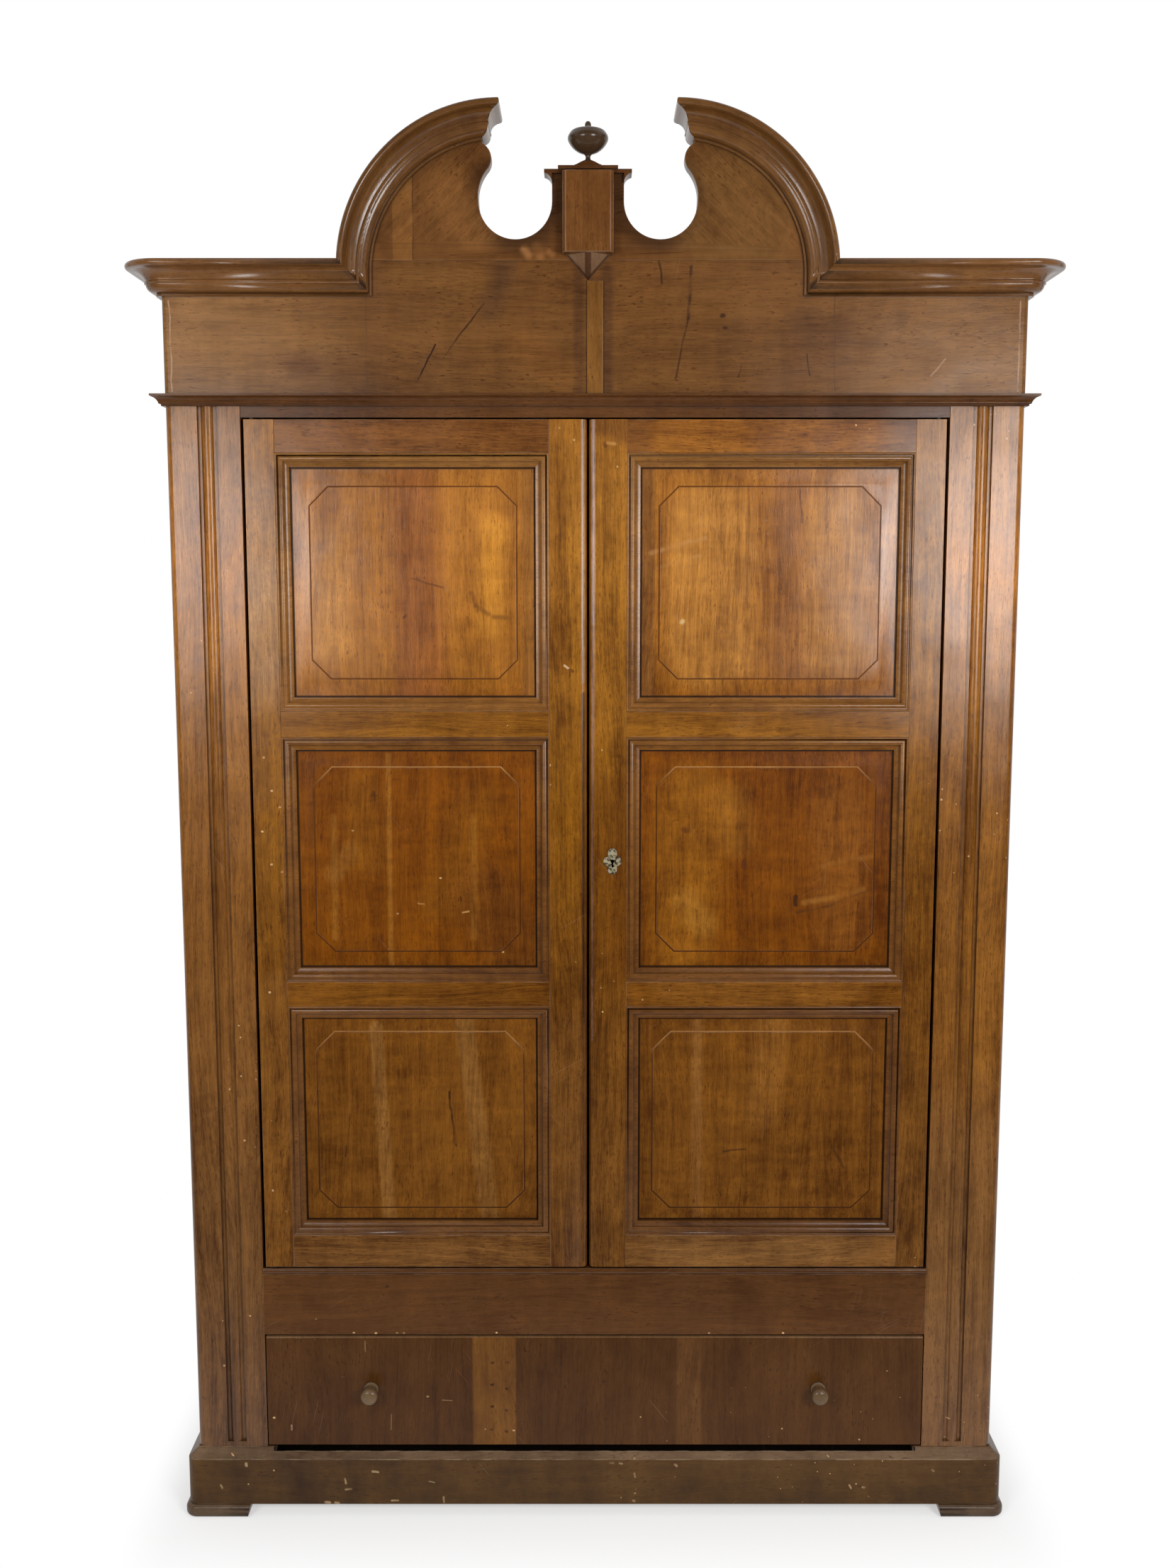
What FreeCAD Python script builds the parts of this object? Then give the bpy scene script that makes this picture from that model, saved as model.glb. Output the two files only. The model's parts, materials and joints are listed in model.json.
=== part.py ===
import FreeCAD, Part

import math
import os

from FreeCAD import Vector

# Two-door wardrobe with a drawer in its base and a broken arched pediment.
# Millimetres. X runs to the right, Y to the back, Z up from the floor.
# The origin is on the floor, in the middle of the outline seen from above.

# Carcass
carcass_width = 1461.0
carcass_depth = 560.0
axis_shift = -12.0
fit_gap = 0.3
pin_gap = 0.05
overrun = 12.0
near = 0.01

# Feet and plinth
pad_height = 24.0
pad_length = 122.0
pad_depth = 92.0
pad_lip = 6.5
pad_slant = 6.0
pad_corner = 22.0
pad_edge_round = 9.0
plinth_height = 104.0
plinth_proud = 18.0
plinth_behind = 22.0
plinth_bevel = 16.0
slot_height = 5.8
slot_margin = 16.0

# Drawer
drawer_lift = 3.0
drawer_front_height = 210.5
drawer_front_thickness = 20.0
drawer_front_side_gap = 2.0
drawer_front_round = 6.0
drawer_headroom = 4.0
drawer_side_gap = 6.0
drawer_side_thickness = 14.0
drawer_side_height = 182.0
drawer_side_lift = 5.0
drawer_side_length = 480.0
drawer_bottom_lift = 4.0
drawer_bottom_thickness = 8.0
drawer_back_height = 162.0
runner_width = 28.0
runner_depth_below_top = 16.0
runner_guide_height = 50.0
runner_guide_width = 22.0
knob_spread = 410.0
knob_height_share = 0.52
knob_radius = 15.5
knob_length = 39.0
knob_peg_radius = 6.0

# Rails and posts of the front
pilaster_width = 127.5
pilaster_depth = 38.0
pilaster_round = 12.0
flute_inset = 54.5
flute_depth = 6.0
flute_outer_groove = 5.5
flute_bead_width = 20.7
flute_inner_groove = 8.0
flute_stop = 9.0
sill_height = 126.5
sill_nose_height = 10.0
sill_nose_proud = 2.5
sill_quirk = 1.5
rail_depth = 52.0
head_rail_height = 37.5
head_rail_recess = 2.0

# Sides, back and inside
side_thickness = 26.0
side_stile_width = 62.0
side_bottom_rail = 140.0
side_middle_rail = 90.0
side_middle_share = 0.5
side_top_rail = 120.0
side_panel_thickness = 12.0
side_panel_recess = 7.0
plank_count = 7
plank_thickness = 14.0
plank_gap = 1.5
floor_thickness = 18.0
floor_step = 10.0
ceiling_thickness = 18.0
batten_width = 19.0
batten_height = 30.0
shelf_headroom = 288.5
shelf_thickness = 18.0
shelf_setback = 80.0
rod_radius = 14.0
rod_drop = 58.0
rod_seat = 14.0
rod_block_width = 56.0
rod_block_thickness = 24.0

# Doors
door_height = 1509.0
door_clearance = 3.0
door_thickness = 28.0
hinge_gap = 5.5
meeting_gap = 6.0
meeting_round = 6.0
hinge_stile_width = 51.0
meeting_stile_width = 64.0
door_bottom_rail = 60.5
door_top_rail = 56.0
door_inner_rail = 45.3
lower_panel_height = 425.0
upper_panel_height = 440.8
panel_recess = 15.0
panel_plate = 8.0
panel_tongue = 8.0
panel_quirk = 5.0
panel_margins = (21.0, 26.0, 28.5)
panel_bevel_share = 0.78
panel_bevel_rise = 4.0
panel_field_rise = 1.5
panel_corner_clip = 32.0
moulding_width = 23.5

# Pivots, lock and bolts
pivot_inset = 12.0
pivot_behind = 10.0
pivot_radius = 4.0
pivot_reach = 10.0
pivot_root = 22.0
pivot_collar_radius = 7.0
socket_length = 34.0
socket_width = 15.0
socket_thickness = 2.5
socket_hole_margin = 0.6
lock_height = 748.0
lock_case_width = 58.0
lock_case_height = 88.0
lock_case_depth = 14.0
lock_wall = 2.5
lock_key_inset = 40.0
bolt_stroke = 12.0
bolt_length = 44.0
bolt_height = 14.0
bolt_thickness = 7.0
keeper_width = 26.0
keeper_height = 46.0
keeper_depth = 14.0
slide_bolt_width = 12.0
slide_bolt_thickness = 6.0
slide_bolt_length = 260.0
slide_bolt_stroke = 15.0
slide_bolt_tip_gap = 1.0
slide_peg_radius = 4.0
slide_peg_length = 9.0
guide_height = 20.0
guide_wall = 4.0
guide_inset = 30.0
keyhole_radius = 3.2
keyhole_slot_width = 3.2
keyhole_slot_length = 11.0
escutcheon_width = 32.0
escutcheon_height = 46.0
escutcheon_thickness = 1.5

# Frieze and cornice
frieze_board_thickness = 28.0
frieze_moulding_height = 19.0
frieze_moulding_proud = 20.0
frieze_height = 161.5
frieze_corner = 9.0
box_board_thickness = 22.0
cornice_height = 52.5
cornice_proud = 55.0
cornice_overhang = 4.0
lath_width = 27.0
lath_thickness = 4.0

# Pediment
seam_rise = 6.0
arch_radius = 270.5
arch_centre_spread = 145.0
arch_rise = 246.7
return_share = 0.6
return_tail = 34.0
cutout_radius = 61.5
cutout_spread = 121.5
cutout_floor_above_seam = 34.5
post_rise = 139.5
block_width = 85.0
block_depth = 27.0
block_bevel = 5.0
block_foot_above_seam = 9.0
pendant_height = 42.0
pendant_width = 75.0
pendant_nose = 8.0
pendant_setback = 2.0
cap_width = 146.0
cap_lip = 6.0
cap_cove = 15.0
cap_proud = 8.0
plate_width = 100.0
plate_thickness = 5.0
plate_proud = 12.0
roof_width = 84.0
roof_margin = 3.0
roof_height = 12.5
finial_radius = 33.8
finial_height = 62.0
finial_peg_radius = 4.0
brace_width = 60.0
brace_depth = 20.0
brace_spread = 250.0
brace_rise = 110.0

# Outlines of the mouldings, as shares of how far they stand out and of their height, from the top.
# One point ends a straight side, two points are the middle and the end of an arc.
cornice_shares = (
    ((0.90, 0.0),),
    ((1.0, 0.09), (0.95, 0.20)),
    ((0.86, 0.225),),
    ((0.53, 0.345), (0.40, 0.56)),
    ((0.44, 0.575),),
    ((0.44, 0.62),),
    ((0.40, 0.63),),
    ((0.34, 0.79), (0.12, 0.90)),
    ((0.07, 0.91),),
    ((0.07, 0.93),),
    ((0.09, 0.935),),
    ((0.09, 1.0),),
    ((0.0, 1.0),),
)
frieze_moulding_shares = (
    ((1.0, 0.0),),
    ((1.0, 0.18),),
    ((0.90, 0.22),),
    ((0.58, 0.42), (0.40, 0.72)),
    ((0.40, 0.80),),
    ((0.22, 0.84),),
    ((0.22, 1.0),),
    ((0.0, 1.0),),
)

# Door moulding: shares of its width from the frame, and of the panel recess from the frame's face.
door_moulding_shares = (
    ((0.0, 0.03),),
    ((0.07, -0.03), (0.14, 0.05)),
    ((0.16, 0.32),),
    ((0.24, 0.32),),
    ((0.25, 0.06),),
    ((0.45, -0.02), (0.63, 0.42)),
    ((0.69, 0.46),),
    ((0.71, 0.60),),
    ((0.98, 0.66),),
    ((1.0, 1.0),),
)

# Turned pieces: shares of the radius and of the length.
finial_shares = (
    ((0.16, 0.0),),
    ((0.12, 0.067), (0.16, 0.133)),
    ((0.22, 0.162),),
    ((0.66, 0.276), (0.96, 0.476)),
    ((1.0, 0.561), (0.92, 0.676)),
    ((0.80, 0.752), (0.60, 0.78)),
    ((0.24, 0.804),),
    ((0.12, 0.845),),
    ((0.155, 0.92), (0.08, 1.0)),
    ((0.0, 1.0),),
)
knob_shares = (
    ((0.86, 0.0),),
    ((0.86, 0.08),),
    ((0.66, 0.22), (0.70, 0.36)),
    ((0.84, 0.40),),
    ((0.84, 0.48),),
    ((0.80, 0.52),),
    ((1.0, 0.72), (0.86, 0.92)),
    ((0.54, 0.98), (0.20, 1.0)),
    ((0.0, 1.0),),
)

# Roof of the post's plate: shares of its half width and of its height.
roof_shares = ((1.0, 0.0), (0.62, 0.10), (0.44, 0.42), (0.30, 0.72), (0.14, 1.0))

# Edge of the pediment board above each cut-out, as shares of cutout_radius from the cut-out's centre,
# away from the post and up: the shoulder, the waist below the lobe and the lobe's tip.
shoulder_share = (0.965, 0.42)
waist_share = (0.725, 0.86)
lobe_tip_share = (0.645, 1.17)
lobe_top_share = (0.855, 1.49)

# Middle of the arc under the post's cap: shares of the bracket's width and of its height.
cove_bend_shares = (0.34, 0.68)

# Levels
plinth_top = pad_height + plinth_height
drawer_foot = plinth_top + drawer_lift
drawer_top = drawer_foot + drawer_front_height
sill_bottom = drawer_top + drawer_headroom
sill_top = sill_bottom + sill_height
door_foot = sill_top + door_clearance
door_top = door_foot + door_height
head_bottom = door_top + door_clearance
carcass_top = head_bottom + head_rail_height
frieze_moulding_foot = carcass_top - frieze_moulding_height
cornice_top = carcass_top + frieze_height + cornice_height
cornice_foot = cornice_top - cornice_height
seam = cornice_top + seam_rise
arch_top_height = seam + arch_rise
arch_centre_height = arch_top_height - arch_radius
post_top = seam + post_rise

# Planes seen from above
half_width = carcass_width / 2
front = cornice_proud - (carcass_depth + cornice_proud) / 2
back = front + carcass_depth
half_opening = half_width - pilaster_width
rail_back = front + rail_depth
plank_front = back - plank_thickness
side_inner = half_width - side_thickness
door_back = front + door_thickness
meeting_left = axis_shift - meeting_gap / 2
meeting_right = axis_shift + meeting_gap / 2
hinge_x = half_opening - hinge_gap
pivot_x = hinge_x - pivot_inset
pivot_y = front + pivot_behind


# Shapes that several pieces share

def block(x0, x1, y0, y1, z0, z1):
    """A box between two values on each axis."""
    return Part.makeBox(x1 - x0, y1 - y0, z1 - z0, Vector(x0, y0, z0))


def prism(points, travel):
    """A flat polygon pushed along a vector."""
    return Part.Face(Part.makePolygon(points + points[:1])).extrude(travel)


def outline(start, moves, place):
    """A closed face; a move is one point for a straight side, or an arc's middle and end."""
    edges = []
    here = start
    for move in moves:
        end = move[-1]
        if len(move) == 1:
            edges.append(Part.makeLine(place(*here), place(*end)))
        else:
            edges.append(Part.Arc(place(*here), place(*move[0]), place(*end)).toShape())
        here = end
    edges.append(Part.makeLine(place(*here), place(*start)))
    return Part.Face(Part.Wire(edges))


def scaled(shares, wide, high):
    """An outline's shares turned into sizes."""
    return [tuple((a * wide, b * high) for a, b in move) for move in shares]


def turned(shares, radius, length, foot, axis):
    """A piece turned on a lathe about an axis through foot; the outline starts on the axis."""
    side = Vector(axis.z, 0, -axis.x) if axis.y == 0 else Vector(1, 0, 0)

    def place(across, along):
        return foot + side * across + axis * along

    return outline((0, 0), scaled(shares, radius, length), place).revolve(foot, axis, 360)


def mirrored(shape, x=0):
    """The same piece on the other side of an upright plane."""
    return shape.mirror(Vector(x, 0, 0), Vector(1, 0, 0))


def pair(shape):
    """A left piece and its right twin."""
    return [shape, mirrored(shape)]


def upright(x, y, radius, z0, z1):
    """A vertical cylinder between two levels."""
    return Part.makeCylinder(radius, z1 - z0, Vector(x, y, z0))


def arris(x, y, side, radius, z0, z1):
    """The wood outside a rounded upright front edge; side is the way the piece's end faces."""
    centre_x = x - side * radius
    low = min(centre_x, x + side * overrun)
    high = max(centre_x, x + side * overrun)
    waste = block(low, high, y - overrun, y + radius, z0, z1)
    return waste.cut(upright(centre_x, y + radius, radius, z0, z1))


def write(name, solids):
    """One file for one named piece or group of like pieces."""
    shape = solids[0] if len(solids) == 1 else Part.makeCompound(solids)
    shape.exportStep("parts/" + name + ".step")


os.makedirs("parts", exist_ok=True)


# Base

def front_pad():
    """A low foot with a rounded outer corner and nose, and a slanted inner end."""
    x0 = -half_width - plinth_proud - pad_lip
    x1 = x0 + pad_length
    y0 = front - plinth_proud - pad_lip
    y1 = y0 + pad_depth
    section = [
        Vector(x0, y0, 0),
        Vector(x1 - pad_slant, y0, 0),
        Vector(x1, y0, pad_height),
        Vector(x0, y0, pad_height),
    ]
    pad = prism(section, Vector(0, y1 - y0, 0))
    corner = [e for e in pad.Edges if on_corner(e, x0, y0)]
    pad = pad.makeFillet(pad_corner, corner)
    rim = [e for e in pad.Edges if on_rim(e, x1, y1)]
    return pad.makeFillet(pad_edge_round, rim)


def on_corner(edge, x, y):
    """True for the upright edge at x, y."""
    middle = edge.CenterOfMass
    return abs(middle.x - x) < near and abs(middle.y - y) < near


def on_rim(edge, x1, y1):
    """True for the top and bottom edges of a pad that show from the front and the outer side."""
    middle = edge.CenterOfMass
    level = middle.z < near or middle.z > pad_height - near
    return level and middle.y < y1 - near and middle.x < x1 - pad_slant - near


def rear_pad():
    """A plain foot under the back corner."""
    x0 = -half_width - plinth_proud
    return block(x0, x0 + pad_length, back - pad_depth, back, 0, pad_height)


def foot_pads():
    return pair(front_pad()) + pair(rear_pad())


plinth_shoulder = plinth_top - plinth_bevel
plinth_inner = front + plinth_behind


def plinth_outline(inner, outer_only=False):
    """Corners of the plinth's section: how far it stands out, and its level."""
    return [
        (inner, pad_height),
        (plinth_proud, pad_height),
        (plinth_proud, plinth_shoulder),
        (0, plinth_top),
    ] + ([] if outer_only else [(inner, plinth_top)])


def plinth_corner(turn):
    """Half of the rounded corner, on the left; turn is where it starts, in degrees from the side."""
    points = [Vector(-half_width - out, front, z) for out, z in plinth_outline(0, True)]
    face = Part.Face(Part.makePolygon(points + points[:1]))
    axis_foot = Vector(-half_width, front, 0)
    face.rotate(axis_foot, Vector(0, 0, 1), turn)
    return face.revolve(axis_foot, Vector(0, 0, 1), 45)


def plinth_front():
    """The front board with its bevelled top, rounded ends and the slot below the drawer."""
    points = [Vector(-half_width, front - out, z) for out, z in plinth_outline(-plinth_behind)]
    board = prism(points, Vector(carcass_width, 0, 0))
    corner = plinth_corner(45)
    board = board.fuse([corner, mirrored(corner)]).removeSplitter()
    slot_half = half_opening - slot_margin
    slot = block(-slot_half, slot_half, front - plinth_proud - overrun, plinth_inner + overrun,
                 plinth_top - slot_height, plinth_top + overrun)
    return board.cut(slot)


def plinth_side():
    """The left side board, mitred to the front board at its rounded corner."""
    outer = [Vector(-half_width - out, front, z) for out, z in plinth_outline(0, True)]
    board = prism(outer, Vector(0, back - front, 0))
    inner = block(-half_width, -half_width + plinth_behind, plinth_inner, back, pad_height, plinth_top)
    return board.fuse([inner, plinth_corner(0)]).removeSplitter()


def plinth_rear():
    """The board between the plinth sides at the back."""
    half = half_width - plinth_behind
    return block(-half, half, back - plinth_behind, back, pad_height, plinth_top)


write("foot_pads", foot_pads())
write("plinth_front", [plinth_front()])
write("plinth_returns", pair(plinth_side()) + [plinth_rear()])


# Front posts and rails

def pilaster():
    """The left corner post with a rounded arris and one flute filled by a half-round bead."""
    x0 = -half_width
    post = block(x0, x0 + pilaster_width, front, front + pilaster_depth, plinth_top, carcass_top)
    post = post.cut(arris(x0, front, -1, pilaster_round, plinth_top, frieze_moulding_foot))
    flute_left = x0 + flute_inset
    bead_left = flute_left + flute_outer_groove
    bead_right = bead_left + flute_bead_width
    flute_right = bead_right + flute_inner_groove
    floor_y = front + flute_depth
    foot = plinth_top + flute_stop
    flute = block(flute_left, flute_right, front - overrun, floor_y, foot, frieze_moulding_foot)
    chord = Part.makeLine(Vector(bead_right, floor_y, foot), Vector(bead_left, floor_y, foot))
    crown = Vector((bead_left + bead_right) / 2, front, foot)
    bow = Part.Arc(chord.Vertexes[1].Point, crown, chord.Vertexes[0].Point).toShape()
    bead = Part.Face(Part.Wire([chord, bow])).extrude(Vector(0, 0, frieze_moulding_foot - foot))
    return post.cut(flute).fuse(bead).removeSplitter()


def pivot_seat(x, level, up):
    """The room in a rail for one pivot plate and the end of its pin."""
    y0 = pivot_y - socket_width / 2
    depth = pivot_reach + fit_gap
    low = min(level, level + up * socket_thickness)
    plate = block(x - socket_length / 2, x + socket_length / 2, y0, y0 + socket_width,
                  low, low + socket_thickness)
    pin_low = min(level, level + up * depth)
    hole = upright(x, pivot_y, pivot_radius + socket_hole_margin, pin_low, pin_low + depth)
    return plate.fuse(hole)


slide_bolt_x = meeting_left - meeting_stile_width / 2


def bolt_seat(level, up):
    """The hole in a rail that a slide bolt enters."""
    half = slide_bolt_width / 2 + fit_gap
    depth = slide_bolt_stroke + fit_gap
    low = min(level, level + up * depth)
    return block(slide_bolt_x - half, slide_bolt_x + half, door_back,
                 door_back + slide_bolt_thickness + fit_gap * 2, low, low + depth)


def sill_rail():
    """The rail between the doors and the drawer, with a small nosing along its top."""
    nose_foot = sill_top - sill_nose_height
    rail = block(-half_opening, half_opening, front, rail_back, sill_bottom, sill_top)

    def place(out, z):
        return Vector(-half_opening, front - out, z)

    nose_middle = (sill_nose_proud, (nose_foot + sill_top) / 2)
    nose = outline((0, nose_foot), [(nose_middle, (0, sill_top))], place)
    quirk = block(-half_opening, half_opening, front - overrun, front + sill_quirk,
                  nose_foot - sill_quirk, nose_foot)
    rail = rail.fuse(nose.extrude(Vector(half_opening * 2, 0, 0))).removeSplitter().cut(quirk)
    rail = rail.cut(bolt_seat(sill_top, -1))
    return rail.cut([pivot_seat(-pivot_x, sill_top, -1), pivot_seat(pivot_x, sill_top, -1)])


def head_rail():
    """The rail above the doors."""
    rail = block(-half_opening, half_opening, front + head_rail_recess, rail_back,
                 head_bottom, carcass_top)
    rail = rail.cut(bolt_seat(head_bottom, 1))
    return rail.cut([pivot_seat(-pivot_x, head_bottom, 1), pivot_seat(pivot_x, head_bottom, 1)])


def pivot_socket(x, level, up):
    """A metal plate let into a rail, with the hole that a door pivot turns in."""
    low = min(level, level + up * socket_thickness)
    y0 = pivot_y - socket_width / 2
    plate = block(x - socket_length / 2, x + socket_length / 2, y0, y0 + socket_width,
                  low, low + socket_thickness)
    return plate.cut(upright(x, pivot_y, pivot_radius + pin_gap, low - overrun, low + overrun))


write("pilaster_left", [pilaster()])
write("pilaster_right", [mirrored(pilaster())])
write("sill_rail", [sill_rail()])
write("head_rail", [head_rail()])
write("pivot_sockets", [
    pivot_socket(side * pivot_x, level, up)
    for side in (-1, 1)
    for level, up in ((sill_top, -1), (head_bottom, 1))
])


# Sides, back and inside

side_front = front + pilaster_depth
side_middle_height = plinth_top + (carcass_top - plinth_top) * side_middle_share
side_panel_front = side_front + side_stile_width
side_panel_back = back - side_stile_width
side_rail_levels = (
    (plinth_top, plinth_top + side_bottom_rail),
    (side_middle_height - side_middle_rail / 2, side_middle_height + side_middle_rail / 2),
    (carcass_top - side_top_rail, carcass_top),
)


def side_stiles():
    front_stile = block(-half_width, -side_inner, side_front, side_panel_front, plinth_top, carcass_top)
    rear_stile = block(-half_width, -side_inner, side_panel_back, back, plinth_top, carcass_top)
    return pair(front_stile) + pair(rear_stile)


def side_rails():
    rails = []
    for low, high in side_rail_levels:
        rails += pair(block(-half_width, -side_inner, side_panel_front, side_panel_back, low, high))
    return rails


def side_panels():
    panels = []
    outer = -half_width + side_panel_recess
    for below, above in zip(side_rail_levels, side_rail_levels[1:]):
        panels += pair(block(outer, outer + side_panel_thickness, side_panel_front, side_panel_back,
                             below[1], above[0]))
    return panels


def back_planks():
    """Upright planks between the side frames, with narrow shrinkage gaps."""
    width = (side_inner * 2 - plank_gap * (plank_count - 1)) / plank_count
    planks = []
    for index in range(plank_count):
        x0 = -side_inner + index * (width + plank_gap)
        planks.append(block(x0, x0 + width, plank_front, back, plinth_top, carcass_top))
    return planks


floor_top = sill_top - floor_step
floor_bottom = floor_top - floor_thickness
ceiling_foot = carcass_top - ceiling_thickness
shelf_top = ceiling_foot - shelf_headroom
shelf_foot = shelf_top - shelf_thickness
batten_bottom = shelf_foot - batten_height
rod_height = batten_bottom - rod_drop + rod_block_width / 2
rod_y = (rail_back + plank_front) / 2


def batten(top):
    """A left ledge along the side frame."""
    return block(-side_inner, -side_inner + batten_width, side_front, plank_front,
                 top - batten_height, top)


def rod_socket():
    """A left block under the shelf's ledge with a blind hole for the rod."""
    half = rod_block_width / 2
    body = block(-side_inner, -side_inner + rod_block_thickness, rod_y - half, rod_y + half,
                 rod_height - half, batten_bottom)
    hole = Part.makeCylinder(rod_radius + pin_gap, rod_seat + overrun,
                             Vector(-side_inner + rod_block_thickness - rod_seat, rod_y, rod_height),
                             Vector(1, 0, 0))
    return body.cut(hole)


def hanging_rod():
    half = side_inner - rod_block_thickness + rod_seat
    return Part.makeCylinder(rod_radius, half * 2, Vector(-half, rod_y, rod_height), Vector(1, 0, 0))


write("side_stiles", side_stiles())
write("side_rails", side_rails())
write("side_panels", side_panels())
write("back_planks", back_planks())
write("compartment_floor", [block(-side_inner, side_inner, rail_back, plank_front,
                                  floor_bottom, floor_top)])
write("ceiling_boards", [block(-side_inner, side_inner, rail_back, plank_front,
                               ceiling_foot, carcass_top)])
write("shelf_battens", pair(batten(floor_bottom)) + pair(batten(shelf_foot)))
write("hat_shelf", [block(-side_inner, side_inner, front + shelf_setback, plank_front,
                          shelf_foot, shelf_top)])
write("rod_sockets", pair(rod_socket()))
write("hanging_rod", [hanging_rod()])


# Drawer

drawer_side_x = half_opening - drawer_side_gap
drawer_side_foot = drawer_foot + drawer_side_lift
drawer_inner_x = drawer_side_x - drawer_side_thickness
drawer_box_front = front + drawer_front_thickness
drawer_box_back = drawer_box_front + drawer_side_length
drawer_bottom_foot = drawer_side_foot + drawer_bottom_lift
drawer_bottom_top = drawer_bottom_foot + drawer_bottom_thickness
knob_height = drawer_foot + drawer_front_height * knob_height_share


def drawer_front():
    """The drawer's front board with a rounded top edge and two peg holes."""
    half = half_opening - drawer_front_side_gap
    board = block(-half, half, front, drawer_box_front, drawer_foot, drawer_top)
    edge = [e for e in board.Edges
            if abs(e.CenterOfMass.y - front) < near and abs(e.CenterOfMass.z - drawer_top) < near]
    board = board.makeFillet(drawer_front_round, edge)
    holes = [
        Part.makeCylinder(knob_peg_radius + pin_gap, drawer_front_thickness + overrun,
                          Vector(side * knob_spread, front - overrun / 2, knob_height), Vector(0, 1, 0))
        for side in (-1, 1)
    ]
    return board.cut(holes)


def drawer_knob(x):
    """A turned wooden knob with its peg through the drawer front."""
    foot = Vector(x, front, knob_height)
    head = turned(knob_shares, knob_radius, knob_length, foot, Vector(0, -1, 0))
    peg = Part.makeCylinder(knob_peg_radius, drawer_front_thickness, foot, Vector(0, 1, 0))
    return head.fuse(peg).removeSplitter()


def drawer_side():
    return block(-drawer_side_x, -drawer_inner_x, drawer_box_front, drawer_box_back,
                 drawer_side_foot, drawer_side_foot + drawer_side_height)


def drawer_runner():
    """A left ledge that carries the drawer side, with a guide along its outside."""
    ledge_top = drawer_side_foot - fit_gap
    ledge_foot = plinth_top - runner_depth_below_top
    ledge = block(-half_opening, -half_opening + runner_width, plinth_inner, back - plinth_behind,
                  ledge_foot, ledge_top)
    guide_inner = -drawer_side_x - fit_gap
    guide = block(guide_inner - runner_guide_width, guide_inner, side_front, back - plinth_behind,
                  ledge_foot, ledge_top + runner_guide_height)
    return ledge.fuse(guide).removeSplitter()


write("drawer_front", [drawer_front()])
write("drawer_knobs", [drawer_knob(-knob_spread), drawer_knob(knob_spread)])
write("drawer_sides", pair(drawer_side()))
write("drawer_back", [block(-drawer_inner_x, drawer_inner_x, drawer_box_back - drawer_side_thickness,
                            drawer_box_back, drawer_bottom_top, drawer_bottom_top + drawer_back_height)])
write("drawer_bottom", [block(-drawer_inner_x, drawer_inner_x, drawer_box_front, drawer_box_back,
                              drawer_bottom_foot, drawer_bottom_top)])
write("drawer_runners", pair(drawer_runner()))


# Doors

middle_panel_foot = door_foot + door_bottom_rail + lower_panel_height + door_inner_rail
upper_panel_foot = door_top - door_top_rail - upper_panel_height
panel_levels = (
    (door_foot + door_bottom_rail, door_foot + door_bottom_rail + lower_panel_height),
    (middle_panel_foot, upper_panel_foot - door_inner_rail),
    (upper_panel_foot, door_top - door_top_rail),
)
rail_levels = (
    (door_foot, panel_levels[0][0]),
    (panel_levels[0][1], panel_levels[1][0]),
    (panel_levels[1][1], panel_levels[2][0]),
    (panel_levels[2][1], door_top),
)
panel_face = front + panel_recess


def opening(hinge, meeting):
    """The left and right edges of a door's panel openings."""
    side = 1 if meeting > hinge else -1
    edges = (hinge + side * hinge_stile_width, meeting - side * meeting_stile_width)
    return min(edges), max(edges)


def panel_plate_block(x0, x1, z0, z1):
    """The flat plate of a panel, with its tongues in the frame."""
    return block(x0 - panel_tongue, x1 + panel_tongue, panel_face, panel_face + panel_plate,
                 z0 - panel_tongue, z1 + panel_tongue)


def rectangle(x0, x1, z0, z1, inset, y):
    """Corners of an upright rectangle drawn in by an inset."""
    left, right = x0 + inset, x1 - inset
    low, high = z0 + inset, z1 - inset
    return [Vector(left, y, low), Vector(right, y, low), Vector(right, y, high), Vector(left, y, high)]


def frustum(base, top):
    """A solid between two parallel polygons with as many corners."""
    faces = [Part.Face(Part.makePolygon(ring + ring[:1])) for ring in (base, top)]
    count = len(base)
    for index in range(count):
        after = (index + 1) % count
        side = [base[index], base[after], top[after], top[index]]
        faces.append(Part.Face(Part.makePolygon(side + side[:1])))
    return Part.Solid(Part.Shell(faces))


def clipped_field(x0, x1, z0, z1, inset, y):
    """Corners of the raised field: a rectangle with its corners cut off at 45 degrees."""
    clip = panel_corner_clip
    points = []
    corners = rectangle(x0, x1, z0, z1, inset, y)
    for index, corner in enumerate(corners):
        before = (corners[index - 1] - corner).normalize()
        after = (corners[(index + 1) % len(corners)] - corner).normalize()
        points += [corner + before * clip, corner + after * clip]
    return points


def door_panel(x0, x1, z0, z1, margin):
    """A panel: a bevelled margin rises to a flat, and the clipped field stands on it."""
    edge = moulding_width + panel_quirk
    brow = panel_face - panel_bevel_rise
    rise = frustum(rectangle(x0, x1, z0, z1, edge, panel_face),
                   rectangle(x0, x1, z0, z1, edge + margin * panel_bevel_share, brow))
    field = prism(clipped_field(x0, x1, z0, z1, edge + margin, brow), Vector(0, -panel_field_rise, 0))
    return panel_plate_block(x0, x1, z0, z1).fuse([rise, field]).removeSplitter()


def moulding_bar(length):
    """A bar along X with mitred ends; the panel lies on its +Z side and the frame on its -Z side."""
    def place(across, deep):
        return Vector(0, deep, across)

    face = outline((0, panel_recess), scaled(door_moulding_shares, moulding_width, panel_recess), place)
    bar = face.extrude(Vector(length, 0, 0))
    proud = Vector(0, -overrun, 0)
    mitre = [Vector(0, 0, 0), Vector(length, 0, 0), Vector(length - moulding_width, 0, moulding_width),
             Vector(moulding_width, 0, moulding_width)]
    keep = prism([point + proud for point in mitre], Vector(0, panel_recess + overrun * 2, 0))
    return bar.common(keep)


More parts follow.
